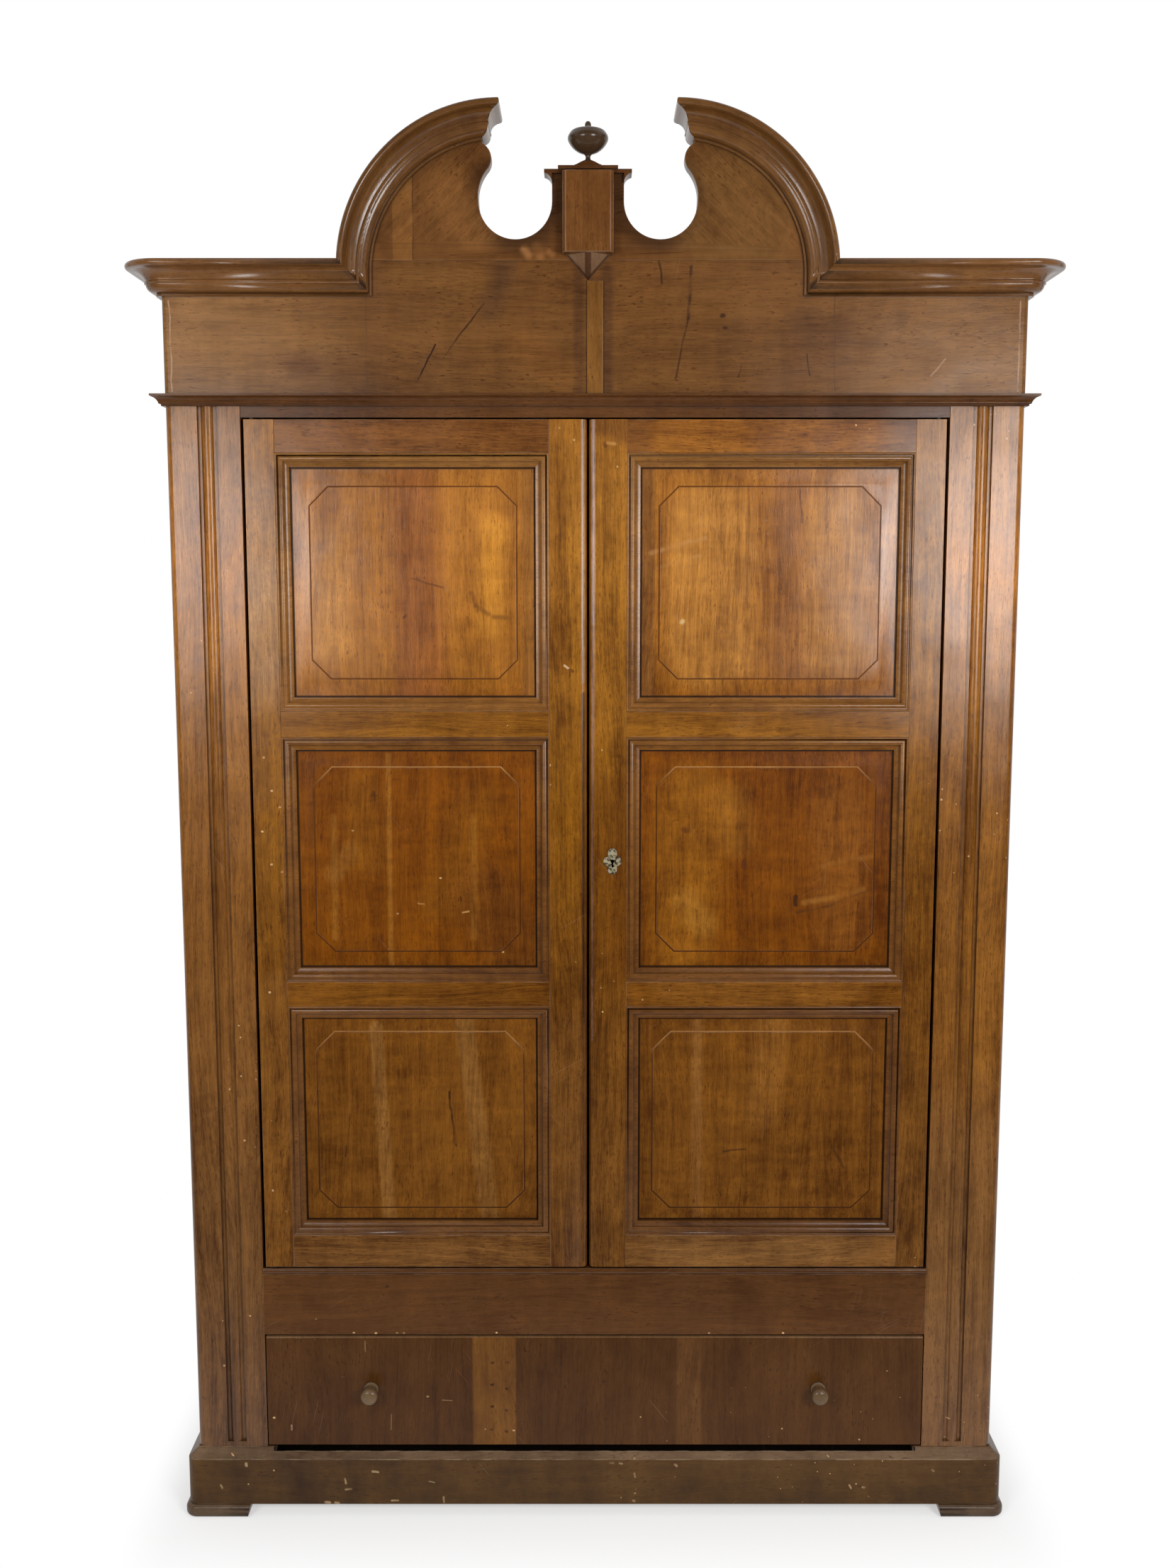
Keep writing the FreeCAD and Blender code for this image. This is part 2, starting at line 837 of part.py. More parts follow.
def moulding_frame(x0, x1, z0, z1):
    """Four mitred bars around one panel."""
    places = (
        (x1 - x0, 0, x0, z0),
        (z1 - z0, -90, x1, z0),
        (x1 - x0, 180, x1, z1),
        (z1 - z0, 90, x0, z1),
    )
    bars = []
    for length, turn, x, z in places:
        bar = moulding_bar(length)
        bar.rotate(Vector(0, 0, 0), Vector(0, 1, 0), turn)
        bar.translate(Vector(x, front, z))
        bars.append(bar)
    return bars


def door_pivot(x, level, up):
    """A steel pin that stands out of a door's end; the lower one has a collar under the door."""
    root = level - up * pivot_root
    tip = level + up * (door_clearance + pivot_reach)
    low, high = min(root, tip), max(root, tip)
    pin = upright(x, pivot_y, pivot_radius, low, high)
    if up > 0:
        return pin
    collar = upright(x, pivot_y, pivot_collar_radius, level - door_clearance + fit_gap, level)
    return pin.fuse(collar).removeSplitter()


def pivot_holes(x):
    """The holes for both pins in a hinge stile."""
    radius = pivot_radius + pin_gap
    return [
        upright(x, pivot_y, radius, door_foot - overrun, door_foot + pivot_root),
        upright(x, pivot_y, radius, door_top - pivot_root, door_top + overrun),
    ]


def door_pieces(hinge, meeting):
    """Stiles, rails, panels, mouldings and pivots of a door between its two edges."""
    side = 1 if meeting > hinge else -1
    x0, x1 = opening(hinge, meeting)
    plates = [panel_plate_block(x0, x1, z0, z1) for z0, z1 in panel_levels]
    hinge_inner = hinge + side * hinge_stile_width
    meeting_inner = meeting - side * meeting_stile_width
    hinge_stile = block(min(hinge, hinge_inner), max(hinge, hinge_inner), front, door_back,
                        door_foot, door_top)
    meeting_stile = block(min(meeting, meeting_inner), max(meeting, meeting_inner), front, door_back,
                          door_foot, door_top)
    meeting_stile = meeting_stile.cut(arris(meeting, front, side, meeting_round, door_foot, door_top))
    rails = [block(x0, x1, front, door_back, low, high).cut(plates) for low, high in rail_levels]
    pivot = hinge + side * pivot_inset
    mouldings = []
    for z0, z1 in panel_levels:
        mouldings += moulding_frame(x0, x1, z0, z1)
    return {
        "hinge_stile": [hinge_stile.cut(plates + pivot_holes(pivot))],
        "meeting_stile": [meeting_stile.cut(plates)],
        "rails": rails,
        "panels": [door_panel(x0, x1, low, high, margin)
                   for (low, high), margin in zip(panel_levels, panel_margins)],
        "mouldings": mouldings,
        "pivots": [door_pivot(pivot, door_foot, -1), door_pivot(pivot, door_top, 1)],
    }


# Lock, keeper and slide bolts

lock_z = door_foot + lock_height
key_x = meeting_right + lock_key_inset
case_x1 = meeting_right + lock_case_width
case_y1 = door_back + lock_case_depth
bolt_x0 = meeting_right + fit_gap
bolt_y0 = door_back + (lock_case_depth - bolt_thickness) / 2
bolt_z0 = lock_z + lock_case_height / 4


def keyhole(y0, y1):
    """A round hole with a slot below it, between two depths."""
    eye = Part.makeCylinder(keyhole_radius, y1 - y0, Vector(key_x, y0, lock_z), Vector(0, 1, 0))
    half = keyhole_slot_width / 2
    return eye.fuse(block(key_x - half, key_x + half, y0, y1, lock_z - keyhole_slot_length, lock_z))


def bolt_tunnel(x0, x1):
    """The space that the lock bolt moves in, with its clearance."""
    return block(x0, x1, bolt_y0 - fit_gap, bolt_y0 + bolt_thickness + fit_gap,
                 bolt_z0 - fit_gap, bolt_z0 + bolt_height + fit_gap)


def lock_case():
    """The lock's metal box on the back of the right door."""
    half = lock_case_height / 2
    case = block(meeting_right, case_x1, door_back, case_y1, lock_z - half, lock_z + half)
    works = block(meeting_right + lock_wall, case_x1 - lock_wall, door_back + lock_wall,
                  case_y1 - lock_wall, lock_z - half + lock_wall, bolt_z0 - lock_wall)
    tunnel = bolt_tunnel(meeting_right - overrun, bolt_x0 + bolt_length + fit_gap)
    return case.cut([works, tunnel, keyhole(door_back - overrun, door_back + lock_wall + overrun / 2)])


def lock_keeper():
    """The metal box on the back of the left door that the lock bolt enters."""
    low = bolt_z0 + bolt_height / 2 - keeper_height / 2
    keeper = block(meeting_left - keeper_width, meeting_left, door_back, door_back + keeper_depth,
                   low, low + keeper_height)
    return keeper.cut(bolt_tunnel(meeting_left - bolt_stroke, meeting_left + overrun))


def lock_bolt():
    return block(bolt_x0, bolt_x0 + bolt_length, bolt_y0, bolt_y0 + bolt_thickness,
                 bolt_z0, bolt_z0 + bolt_height)


def escutcheon():
    """A four-lobed plate round the keyhole."""
    wide = escutcheon_width / 2
    high = escutcheon_height / 2
    lobe = wide / 2
    face_y = front - escutcheon_thickness
    centres = ((wide - lobe, 0), (lobe - wide, 0), (0, high - lobe), (0, lobe - high))
    lobes = [
        Part.makeCylinder(lobe, escutcheon_thickness, Vector(key_x + dx, face_y, lock_z + dz),
                          Vector(0, 1, 0))
        for dx, dz in centres
    ]
    heart = [Vector(key_x + sx * lobe, face_y, lock_z + sz * (high - lobe))
             for sx, sz in ((-1, -1), (1, -1), (1, 1), (-1, 1))]
    plate = prism(heart, Vector(0, escutcheon_thickness, 0)).fuse(lobes).removeSplitter()
    return plate.cut(keyhole(face_y - overrun, front + overrun))


def slide_bolt(tip, up):
    """A flat bolt on the back of the left door; tip is its free end and up is the way it moves."""
    half = slide_bolt_width / 2
    y0 = door_back + fit_gap
    tail = tip - up * slide_bolt_length
    low, high = min(tip, tail), max(tip, tail)
    bar = block(slide_bolt_x - half, slide_bolt_x + half, y0, y0 + slide_bolt_thickness, low, high)
    peg_foot = Vector(slide_bolt_x, y0 + slide_bolt_thickness, (low + high) / 2)
    peg = Part.makeCylinder(slide_peg_radius, slide_peg_length, peg_foot, Vector(0, 1, 0))
    return bar.fuse(peg).removeSplitter()


def bolt_guide(z):
    """A staple that holds a slide bolt against the door."""
    half = slide_bolt_width / 2 + fit_gap
    deep = slide_bolt_thickness + fit_gap * 2
    staple = block(slide_bolt_x - half - guide_wall, slide_bolt_x + half + guide_wall,
                   door_back, door_back + deep + guide_wall, z, z + guide_height)
    return staple.cut(block(slide_bolt_x - half, slide_bolt_x + half, door_back - overrun,
                            door_back + deep, z - overrun, z + guide_height + overrun))


top_tip = door_top - slide_bolt_tip_gap
bottom_tip = door_foot + slide_bolt_tip_gap
guide_levels = (
    top_tip - guide_inset - guide_height,
    top_tip - slide_bolt_length + guide_inset,
    bottom_tip + guide_inset,
    bottom_tip + slide_bolt_length - guide_inset - guide_height,
)
left_door = door_pieces(-hinge_x, meeting_left)
right_door = door_pieces(hinge_x, meeting_right)
right_door["meeting_stile"] = [right_door["meeting_stile"][0].cut(keyhole(front - overrun,
                                                                        door_back + overrun))]
for name, pieces in left_door.items():
    write("left_door_" + name, pieces)
for name, pieces in right_door.items():
    write("right_door_" + name, pieces)
write("lock_case", [lock_case()])
write("lock_keeper", [lock_keeper()])
write("lock_bolt", [lock_bolt()])
write("escutcheon", [escutcheon()])
write("top_bolt", [slide_bolt(top_tip, 1)])
write("bottom_bolt", [slide_bolt(bottom_tip, -1)])
write("bolt_guides", [bolt_guide(z) for z in guide_levels])


# Frieze and cornice

def run_across(moves, x0, x1, top):
    """A moulding along the front, hung from its top edge."""
    def place(out, drop):
        return Vector(x0, front - out, top - drop)

    return outline((0, 0), moves, place).extrude(Vector(x1 - x0, 0, 0))


def carried_in(moves, reach):
    """An outline's moves with the last point further in than the face it is measured from."""
    return moves[:-1] + [((-reach, moves[-1][-1][1]),)]


def run_back(moves, y0, top, packing=0):
    """A moulding along the left side, from y0 to the back; packing is how far it is set out."""
    def place(out, drop):
        return Vector(-half_width - packing - out, y0, top - drop)

    face = outline((-packing, 0), carried_in(moves, packing), place)
    return face.extrude(Vector(0, back - y0, 0))


corner_x = -half_width - cornice_overhang + frieze_corner
corner_y = front + frieze_corner


def cornice_corner(turn):
    """Half of the cornice's rounded left corner; turn is where it starts, in degrees from the side."""
    centre = Vector(corner_x, corner_y, 0)

    def place(out, drop):
        return Vector(corner_x - frieze_corner - out, corner_y, cornice_top - drop)

    face = outline((-frieze_corner, 0), carried_in(cornice_moves, frieze_corner), place)
    face.rotate(centre, Vector(0, 0, 1), turn)
    board = block(-half_width, half_width, front, back, cornice_foot - overrun, cornice_top + overrun)
    return face.revolve(centre, Vector(0, 0, 1), 45).cut(board)


def mitre_keep(points, low, high):
    """An upright prism over a plan outline, used to cut mitres."""
    return prism([Vector(x, y, low - overrun) for x, y in points], Vector(0, 0, high - low + overrun * 2))


def frieze_mouldings():
    """The small moulding below the frieze: front and two sides, mitred."""
    moves = scaled(frieze_moulding_shares, frieze_moulding_proud, frieze_moulding_height)
    tip_x = half_width + frieze_moulding_proud
    tip_y = front - frieze_moulding_proud
    front_keep = mitre_keep([(-tip_x, tip_y), (tip_x, tip_y), (half_width, front), (-half_width, front)],
                            frieze_moulding_foot, carcass_top)
    side_keep = mitre_keep([(-tip_x, tip_y), (-half_width, front), (-half_width, back), (-tip_x, back)],
                           frieze_moulding_foot, carcass_top)
    across = run_across(moves, -tip_x, tip_x, carcass_top).common(front_keep)
    return [across] + pair(run_back(moves, tip_y, carcass_top).common(side_keep))


def arch_x(side, radius):
    """Where an arch of this radius comes down: side is -1 on the left and 1 on the right."""
    return axis_shift + side * (arch_centre_spread + radius)


def arch_mitre(side, outward):
    """The space on one side of the mitre between the cornice and an arch."""
    outer = Vector(arch_x(side, arch_radius), front - cornice_proud - overrun, cornice_top)
    along = Vector(-side * arch_radius, 0, -arch_radius)
    across = Vector(side * half_width, 0, -half_width)
    if not outward:
        across = across * -1
    low = outer + along
    high = outer - along
    return prism([low, high, high + across, low + across], Vector(0, carcass_depth, 0))


cornice_moves = scaled(cornice_shares, cornice_proud, cornice_height)


def cornice_front(side):
    """The cornice on one side of the pediment, with half of the rounded corner."""
    inner = abs(arch_x(side, arch_radius - cornice_height))
    run = run_across(cornice_moves, corner_x, -inner, cornice_top)
    piece = run.fuse(cornice_corner(45)).removeSplitter()
    if side > 0:
        piece = mirrored(piece)
    return piece.common(arch_mitre(side, True))


def cornice_side():
    """The cornice along the left side, with the other half of the corner."""
    run = run_back(cornice_moves, corner_y, cornice_top, cornice_overhang)
    return run.fuse(cornice_corner(0)).removeSplitter()


board_back = front + frieze_board_thickness
arch_foot_reach = math.sqrt(arch_radius ** 2 - (seam - arch_centre_height) ** 2)
seam_reach = arch_centre_spread + arch_foot_reach


def frieze_board():
    """The wide board above the doors, rounded at its ends below the cornice, with a raised edge."""
    board = block(-half_width, half_width, front, board_back, carcass_top, cornice_top)
    board = board.cut([
        arris(side * half_width, front, side, frieze_corner, carcass_top, cornice_foot)
        for side in (-1, 1)
    ])
    step = block(axis_shift - seam_reach, axis_shift + seam_reach, front, board_back, cornice_top, seam)
    return board.fuse(step).removeSplitter()


def frieze_box():
    """The side boards behind the frieze and the board between them at the back."""
    side = block(-half_width, -half_width + box_board_thickness, board_back, back,
                 carcass_top, cornice_top)
    inner = half_width - box_board_thickness
    return pair(side) + [block(-inner, inner, back - box_board_thickness, back,
                               carcass_top, cornice_top)]


write("frieze_mouldings", frieze_mouldings())
write("frieze_board", [frieze_board()])
write("frieze_box", frieze_box())
write("cornice_front_left", [cornice_front(-1)])
write("cornice_front_right", [cornice_front(1)])
write("cornice_sides", pair(cornice_side()))


# Pediment

return_proud = cornice_proud * return_share
cutout_height = seam + cutout_floor_above_seam + cutout_radius


def return_mitre(side, outward):
    """The space on one side of the mitre between an arch and its return."""
    end_x = arch_x(side, 0)
    step = Vector(side * return_proud, cornice_proud, 0)
    tip = Vector(end_x, front - cornice_proud, cornice_foot - overrun)
    across = Vector(side * arch_radius * 2, 0, 0)
    if not outward:
        across = across * -1
    start = tip - step
    end = tip + step * 2
    height = arch_top_height - cornice_foot + overrun * 2
    return prism([start, end, end + across, start + across], Vector(0, 0, height))


def arch_moulding(side):
    """The cornice moulding bent over one half of the pediment."""
    centre = Vector(arch_x(side, 0), 0, arch_centre_height)

    def place(out, drop):
        return Vector(arch_x(side, arch_radius - drop), front - out, arch_centre_height)

    face = outline((0, 0), cornice_moves, place)
    bend = face.revolve(centre, Vector(0, 1, 0), -side * 90)
    leg_length = abs(arch_centre_height - cornice_foot) + overrun
    leg = face.extrude(Vector(0, 0, -leg_length))
    piece = bend.fuse(leg).removeSplitter()
    return piece.common(arch_mitre(side, False)).common(return_mitre(side, True))


def arch_return(side):
    """The same moulding, thinner, turned back across the end of an arch."""
    def place(out, drop):
        return Vector(arch_x(side, return_proud) - side * out, front - cornice_proud,
                      arch_top_height - drop)

    face = outline((0, 0), scaled(cornice_shares, return_proud, cornice_height), place)
    bar = face.extrude(Vector(0, cornice_proud + frieze_board_thickness + return_tail, 0))
    return bar.common(return_mitre(side, False))


def pediment_half():
    """The left half of the pediment board up to the axis."""
    def place(across, z):
        return Vector(axis_shift - across, front, z)

    def by_cutout(share):
        return (cutout_spread + share[0] * cutout_radius, cutout_height + share[1] * cutout_radius)

    slant = arch_radius * math.sqrt(0.5)
    end = arch_centre_spread + return_proud
    moves = [
        ((seam_reach, seam),),
        ((arch_centre_spread + slant, arch_centre_height + slant),
         (end, arch_centre_height + math.sqrt(arch_radius ** 2 - return_proud ** 2))),
        ((end, arch_top_height - cornice_height),),
        (by_cutout(lobe_top_share),),
        (by_cutout(lobe_tip_share), by_cutout(waist_share)),
        (by_cutout(shoulder_share), by_cutout((1.0, 0.0))),
        (by_cutout((0.0, -1.0)), by_cutout((-1.0, 0.0))),
        ((cutout_spread - cutout_radius, post_top),),
        ((0, post_top),),
    ]
    return outline((0, seam), moves, place).extrude(Vector(0, frieze_board_thickness, 0))


def pediment_board():
    """One board with two arched shoulders, two round cut-outs and the post between them."""
    half = pediment_half()
    return half.fuse(mirrored(half, axis_shift)).removeSplitter()


block_foot = seam + block_foot_above_seam
block_front = front - block_depth
cap_top = post_top + cap_lip
plate_top = cap_top + plate_thickness
roof_top = plate_top + roof_height
plate_front = front - plate_proud
finial_y = (plate_front + board_back) / 2


def post_block():
    """The block on the post, with bevelled upright edges."""
    half = block_width / 2
    plan = [(-half, front), (-half, block_front + block_bevel), (block_bevel - half, block_front),
            (half - block_bevel, block_front), (half, block_front + block_bevel), (half, front)]
    points = [Vector(axis_shift + x, y, block_foot) for x, y in plan]
    return prism(points, Vector(0, 0, post_top - block_foot))


def post_pendant():
    """The point under the block: it narrows to the front and down to a tip at the board."""
    y0 = block_front + pendant_setback
    plan = [(-pendant_width / 2, front), (-pendant_nose / 2, y0),
            (pendant_nose / 2, y0), (pendant_width / 2, front)]
    rim = [Vector(axis_shift + x, y, block_foot) for x, y in plan]
    tip = Vector(axis_shift, front, block_foot - pendant_height)
    faces = [Part.Face(Part.makePolygon(rim + rim[:1]))]
    for index in range(len(rim)):
        corner, after = rim[index - 1], rim[index]
        faces.append(Part.Face(Part.makePolygon([corner, after, tip, corner])))
    return Part.Solid(Part.Shell(faces))


def post_cap():
    """The thin cap on the post, with a hollow bracket on each side."""
    root = cutout_spread - cutout_radius
    tip = cap_width / 2
    low = post_top - cap_cove

    def place(across, z):
        return Vector(axis_shift - across, front - cap_proud, z)

    bend = (root + (tip - root) * cove_bend_shares[0], low + cap_cove * cove_bend_shares[1])
    moves = [
        ((root, post_top),),
        ((root, low),),
        (bend, (tip, post_top)),
        ((tip, cap_top),),
        ((0, cap_top),),
    ]
    half = outline((0, post_top), moves, place).extrude(Vector(0, board_back - front + cap_proud, 0))
    return half.fuse(mirrored(half, axis_shift)).removeSplitter()


def post_plate():
    """The plate on the cap, with a low hollow roof and the hole for the finial's peg."""
    half = plate_width / 2
    plate = block(axis_shift - half, axis_shift + half, plate_front, board_back, cap_top, plate_top)
    wide = roof_width / 2
    deep = (board_back - plate_front) / 2 - roof_margin
    rings = []
    for out, up in roof_shares:
        z = plate_top + up * roof_height
        rings.append([Vector(axis_shift + sx * out * wide, finial_y + sy * out * deep, z)
                      for sx, sy in ((-1, -1), (1, -1), (1, 1), (-1, 1))])
    tiers = [frustum(low, high) for low, high in zip(rings, rings[1:])]
    hole = upright(axis_shift, finial_y, finial_peg_radius + pin_gap, cap_top, roof_top + overrun)
    return plate.fuse(tiers).removeSplitter().cut(hole)


def finial():
    """The turned urn on top, with its peg."""
    foot = Vector(axis_shift, finial_y, roof_top)
    urn = turned(finial_shares, finial_radius, finial_height, foot, Vector(0, 0, 1))
    return urn.fuse(upright(axis_shift, finial_y, finial_peg_radius, cap_top, roof_top)).removeSplitter()


def pediment_battens():
    """Upright battens behind the frieze and the pediment that hold them together."""
    battens = []
    for side in (-1, 1):
        x = axis_shift + side * brace_spread
        battens.append(block(x - brace_width / 2, x + brace_width / 2, board_back,
                             board_back + brace_depth, carcass_top, seam + brace_rise))
    return battens


write("pediment_board", [pediment_board()])
write("arch_moulding_left", [arch_moulding(-1)])
write("arch_moulding_right", [arch_moulding(1)])
write("arch_returns", [arch_return(-1), arch_return(1)])
write("post_block", [post_block()])
write("post_pendant", [post_pendant()])
write("post_cap", [post_cap()])
write("post_plate", [post_plate()])
write("finial", [finial()])
write("frieze_lath", [block(-lath_width / 2, lath_width / 2, front - lath_thickness, front,
                            carcass_top, block_foot - pendant_height)])
write("pediment_battens", pediment_battens())
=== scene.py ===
import json
import math
import random

import bmesh
import bpy
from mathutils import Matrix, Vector


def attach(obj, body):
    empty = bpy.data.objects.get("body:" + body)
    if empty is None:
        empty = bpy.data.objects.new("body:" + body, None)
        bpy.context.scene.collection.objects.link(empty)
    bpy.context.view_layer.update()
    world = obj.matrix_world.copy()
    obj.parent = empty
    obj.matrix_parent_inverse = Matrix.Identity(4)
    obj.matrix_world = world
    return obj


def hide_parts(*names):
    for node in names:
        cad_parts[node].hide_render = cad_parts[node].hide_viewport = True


# The looks of a two-door walnut wardrobe with a broken arched pediment.
# Metres, in the frame of the solids: X to the right, Y to the back, Z up from the floor.

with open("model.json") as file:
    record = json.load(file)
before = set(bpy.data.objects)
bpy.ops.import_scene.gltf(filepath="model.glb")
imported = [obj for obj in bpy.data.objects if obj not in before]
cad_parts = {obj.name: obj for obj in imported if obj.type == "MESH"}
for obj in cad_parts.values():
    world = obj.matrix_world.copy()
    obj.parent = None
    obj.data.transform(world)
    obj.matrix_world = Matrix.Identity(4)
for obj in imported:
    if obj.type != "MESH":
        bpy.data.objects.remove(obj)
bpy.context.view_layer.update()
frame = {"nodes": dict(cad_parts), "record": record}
random.seed(11)

body_of = {
    node: body
    for body, nodes in frame["record"]["behaviour"]["bodies"].items()
    for node in nodes
}

# How soft the arrises are, and from which fold an edge counts as an arris
ARRIS = 0.0011
CRISP_ARRIS = 0.0006
FOLD = math.radians(38)

# Corners nearer than this are one corner, and faces that meet flatter than this are one face
MERGE = 0.00001
FLAT = math.radians(0.4)

# How far along each axis the grain's start may lie from the noise's origin, in one solid and another
GRAIN_REACH = 20

# The worn fronts of the meeting stiles: on which side, how wide and deep, how far from the front
# corners move back, in how many strips and with what curve, and how much the edge grows outwards
EASED = {"left_door_meeting_stile": 1, "right_door_meeting_stile": -1}
EASE_WIDTH = 0.011
EASE_DEPTH = 0.0024
EASE_REACH = 0.008
EASE_STEPS = 6
EASE_CURVE = 1.1
EDGE_GROWTH = 0.0012

# The groove beside the frame in the door mouldings: where it is and how deep it is filled
GROOVED = ("left_door_mouldings", "right_door_mouldings")
GROOVE_WIDTH = 0.0060
GROOVE_DEPTH = 0.0016

# The node whose outer sides are veneered as the front is, and which faces lie on these sides: how much
# they look sideways and how far inside they may be
VENEERED = {"frieze_box": "frieze"}
SIDEWAYS = 0.9
VENEER_DEPTH = 0.002

# How much the faces of a panel's bevelled margin look to the front
LEAST_SLOPED = 0.5
MOST_SLOPED = 0.9999

# The lines on the panels: nearest and furthest reach from their outline, and how far behind its face; and
# how sharp their corners may get. The quirk line is painted shade: a dark band in the quirk between the
# moulding and the panel's margin
FIELD_LINE = (0.0002, 0.0024, 0.0012)
QUIRK_SHADE_LINE = (0.0022, 0.0049, -0.0002)
SHARPEST_MITER = 0.5

# Below this height the polish of the panels is dull
DULL_BELOW = 1.5

# The height that the colour ramps run over; the ramps paint light too, lighter near the top and darker
# lower down
RAMP_HEIGHT = 2.5

# The layers of a wood's figure and wear: how fast each varies along its three axes, its detail and
# its roughness
LAYERS = {
    "drift": ((1.3, 6.0, 6.0), 2.0, 0.5),
    "bands": ((1.1, 34.0, 16.0), 3.0, 0.55),
    "streaks": ((5.0, 150.0, 100.0), 3.0, 0.6),
    "fibres": ((24.0, 620.0, 500.0), 2.0, 0.5),
    "pores": ((75.0, 420.0, 380.0), 1.0, 0.5),
    "waves": ((46.0, 9.0, 9.0), 2.0, 0.6),
    "folds": ((22.0, 22.0, 22.0), 2.0, 0.5),
    "curls": ((60.0, 60.0, 60.0), 4.0, 0.65),
    "clouds": ((2.6, 2.6, 2.6), 4.0, 0.6),
    "blots": ((21.0, 21.0, 14.0), 4.0, 0.7),
    "flecks": ((85.0, 380.0, 300.0), 1.0, 0.5),
    "fade": ((31.0, 31.0, 31.0), 2.0, 0.5),
    "scratches": ((7.0, 7.0, 620.0), 1.0, 0.5),
    "some_scratches": ((5.0, 5.0, 5.0), 1.0, 0.5),
    "crowd": ((3.4, 3.4, 3.4), 1.0, 0.5),
    "rubbed_and_glint": ((23.0, 23.0, 9.0), 3.0, 0.5),
    "sag": ((5.5, 5.5, 5.5), 2.0, 0.5),
}

# What a wood's colour is multiplied by in its dark and light figure, its pores and its flecks
DARK_FIGURE = (0.50, 0.43, 0.34, 1.0)
LIGHT_FIGURE = (1.50, 1.58, 1.50, 1.0)
PORE = (0.28, 0.21, 0.16, 1.0)
FLECK = (0.48, 0.38, 0.28, 1.0)

# Colours of what lies on the wood: paint specks, and soiling with painted shade in the hollows
PAINT_SPECK = (196, 158, 112)
GRIME_AND_SHADE = (34, 20, 12)

# How far the marks waver, and over what distance soiling and painted shade gather in the hollows beside an
# edge
WAVER = 0.006
HOLLOW_REACH = 0.008

# The directions of the scratches, each with its own place in the noise
SCRATCH_TURNS = ((0.5, 3.0), (-0.9, 8.0), (1.35, 15.0))

# The even light of the room
AMBIENT = 0.34

# The soft boxes: name, place, aim, width, height, watts
BOXES = (
    ("box_left", (-1.50, -2.90, 1.86), (-0.20, -0.25, 1.55), 0.95, 0.86, 30),
    ("box_right", (1.50, -2.90, 1.86), (0.20, -0.25, 1.55), 0.95, 0.86, 48),
)

# The photograph's camera
CAMERA_PLACE = (-0.012, -2.9555, 1.7014)
CAMERA_TILT = math.radians(90 - 7.2)
SENSOR_HEIGHT = 36.0
LENS = 35.8

# The floor: half its size, its grey and glow, and where its shadow gives way to white; then the
# grey that polish sees instead of it
FLOOR_SIZE = 14.0
FLOOR_GREY = (0.80, 0.80, 0.80, 1.0)
FLOOR_GLOW = 0.45
FLOOR_SIDE = 0.74
FLOOR_FRONT = 0.26
FLOOR_FADE = 0.28
SIDE_FADE = 2.2
DIM_GREY = (0.12, 0.12, 0.12, 1.0)
WHITE = (1.0, 1.0, 1.0, 1.0)

# Where the room turns from dark behind the camera to white: along the floor, and round the object, with
# the least and most that rays in gloss see there
FLOOR_TURN = (-1.5, -0.45)
ROOM_TURN = (-0.75, 0.0, 0.04, 1.0)


# Colours and nodes

def srgb(red, green, blue):
    """A colour as it shows on screen, in the renderer's own terms."""
    def linear(value):
        share = value / 255
        return share / 12.92 if share <= 0.04045 else ((share + 0.055) / 1.055) ** 2.4

    return (linear(red), linear(green), linear(blue), 1.0)


class Nodes:
    """The node tree of a material or a world, with short names for the nodes that it is mixed from."""

    def __init__(self, owner):
        owner.use_nodes = True
        self.owner = owner
        self.tree = owner.node_tree
        self.tree.nodes.clear()
        self.coordinates = self.node("TexCoord").outputs
        self.place = self.coordinates["Object"]

    def node(self, kind, inputs=None, **settings):
        made = self.tree.nodes.new("ShaderNode" + kind)
        for key, value in settings.items():
            setattr(made, key, value)
        for key, value in (inputs or {}).items():
            if isinstance(value, bpy.types.NodeSocket):
                self.tree.links.new(value, made.inputs[key])
            else:
                made.inputs[key].default_value = value
        return made

    def math(self, operation, a, b=0.0, clamp=False):
        return self.node("Math", {0: a, 1: b}, operation=operation, use_clamp=clamp).outputs[0]

    def stretch(self, at, by):
        return self.node("VectorMath", {0: at, 1: by}, operation="MULTIPLY").outputs[0]

    def shift(self, at, by):
        return self.node("VectorMath", {0: at, 1: by}, operation="ADD").outputs[0]

    def noise(self, at, by, detail=2.0, rough=0.5):
        inputs = {"Vector": self.stretch(at, by), "Scale": 1.0, "Detail": detail, "Roughness": rough}
        return self.node("TexNoise", inputs).outputs[0]

    def layer(self, kind, at):
        return self.noise(at, *LAYERS[kind])

    def spread(self, value, low, high, out_low=0.0, out_high=1.0):
        inputs = {0: value, 1: low, 2: high, 3: out_low, 4: out_high}
        return self.node("MapRange", inputs, interpolation_type="SMOOTHSTEP").outputs[0]

    def mix(self, factor, a, b, blend="MIX"):
        inputs = {0: factor, 6: a, 7: b}
        return self.node("Mix", inputs, data_type="RGBA", blend_type=blend).outputs[2]

    def ramp(self, value, stops):
        made = self.node("ValToRGB", {0: value})
        row = made.color_ramp.elements
        while len(row) < len(stops):
            row.new(1.0)
        for element, (position, colour) in zip(row, stops):
            element.position = position
            element.color = colour
        return made.outputs[0]

    def attribute(self, name, output):
        return self.node("Attribute", attribute_name=name).outputs[output]

    def end(self, shader, kind="OutputMaterial"):
        self.tree.links.new(shader, self.node(kind).inputs[0])

    def finish(self, **inputs):
        named = {key.replace("_", " "): value for key, value in inputs.items()}
        self.end(self.node("BsdfPrincipled", named).outputs[0])
        return self.owner


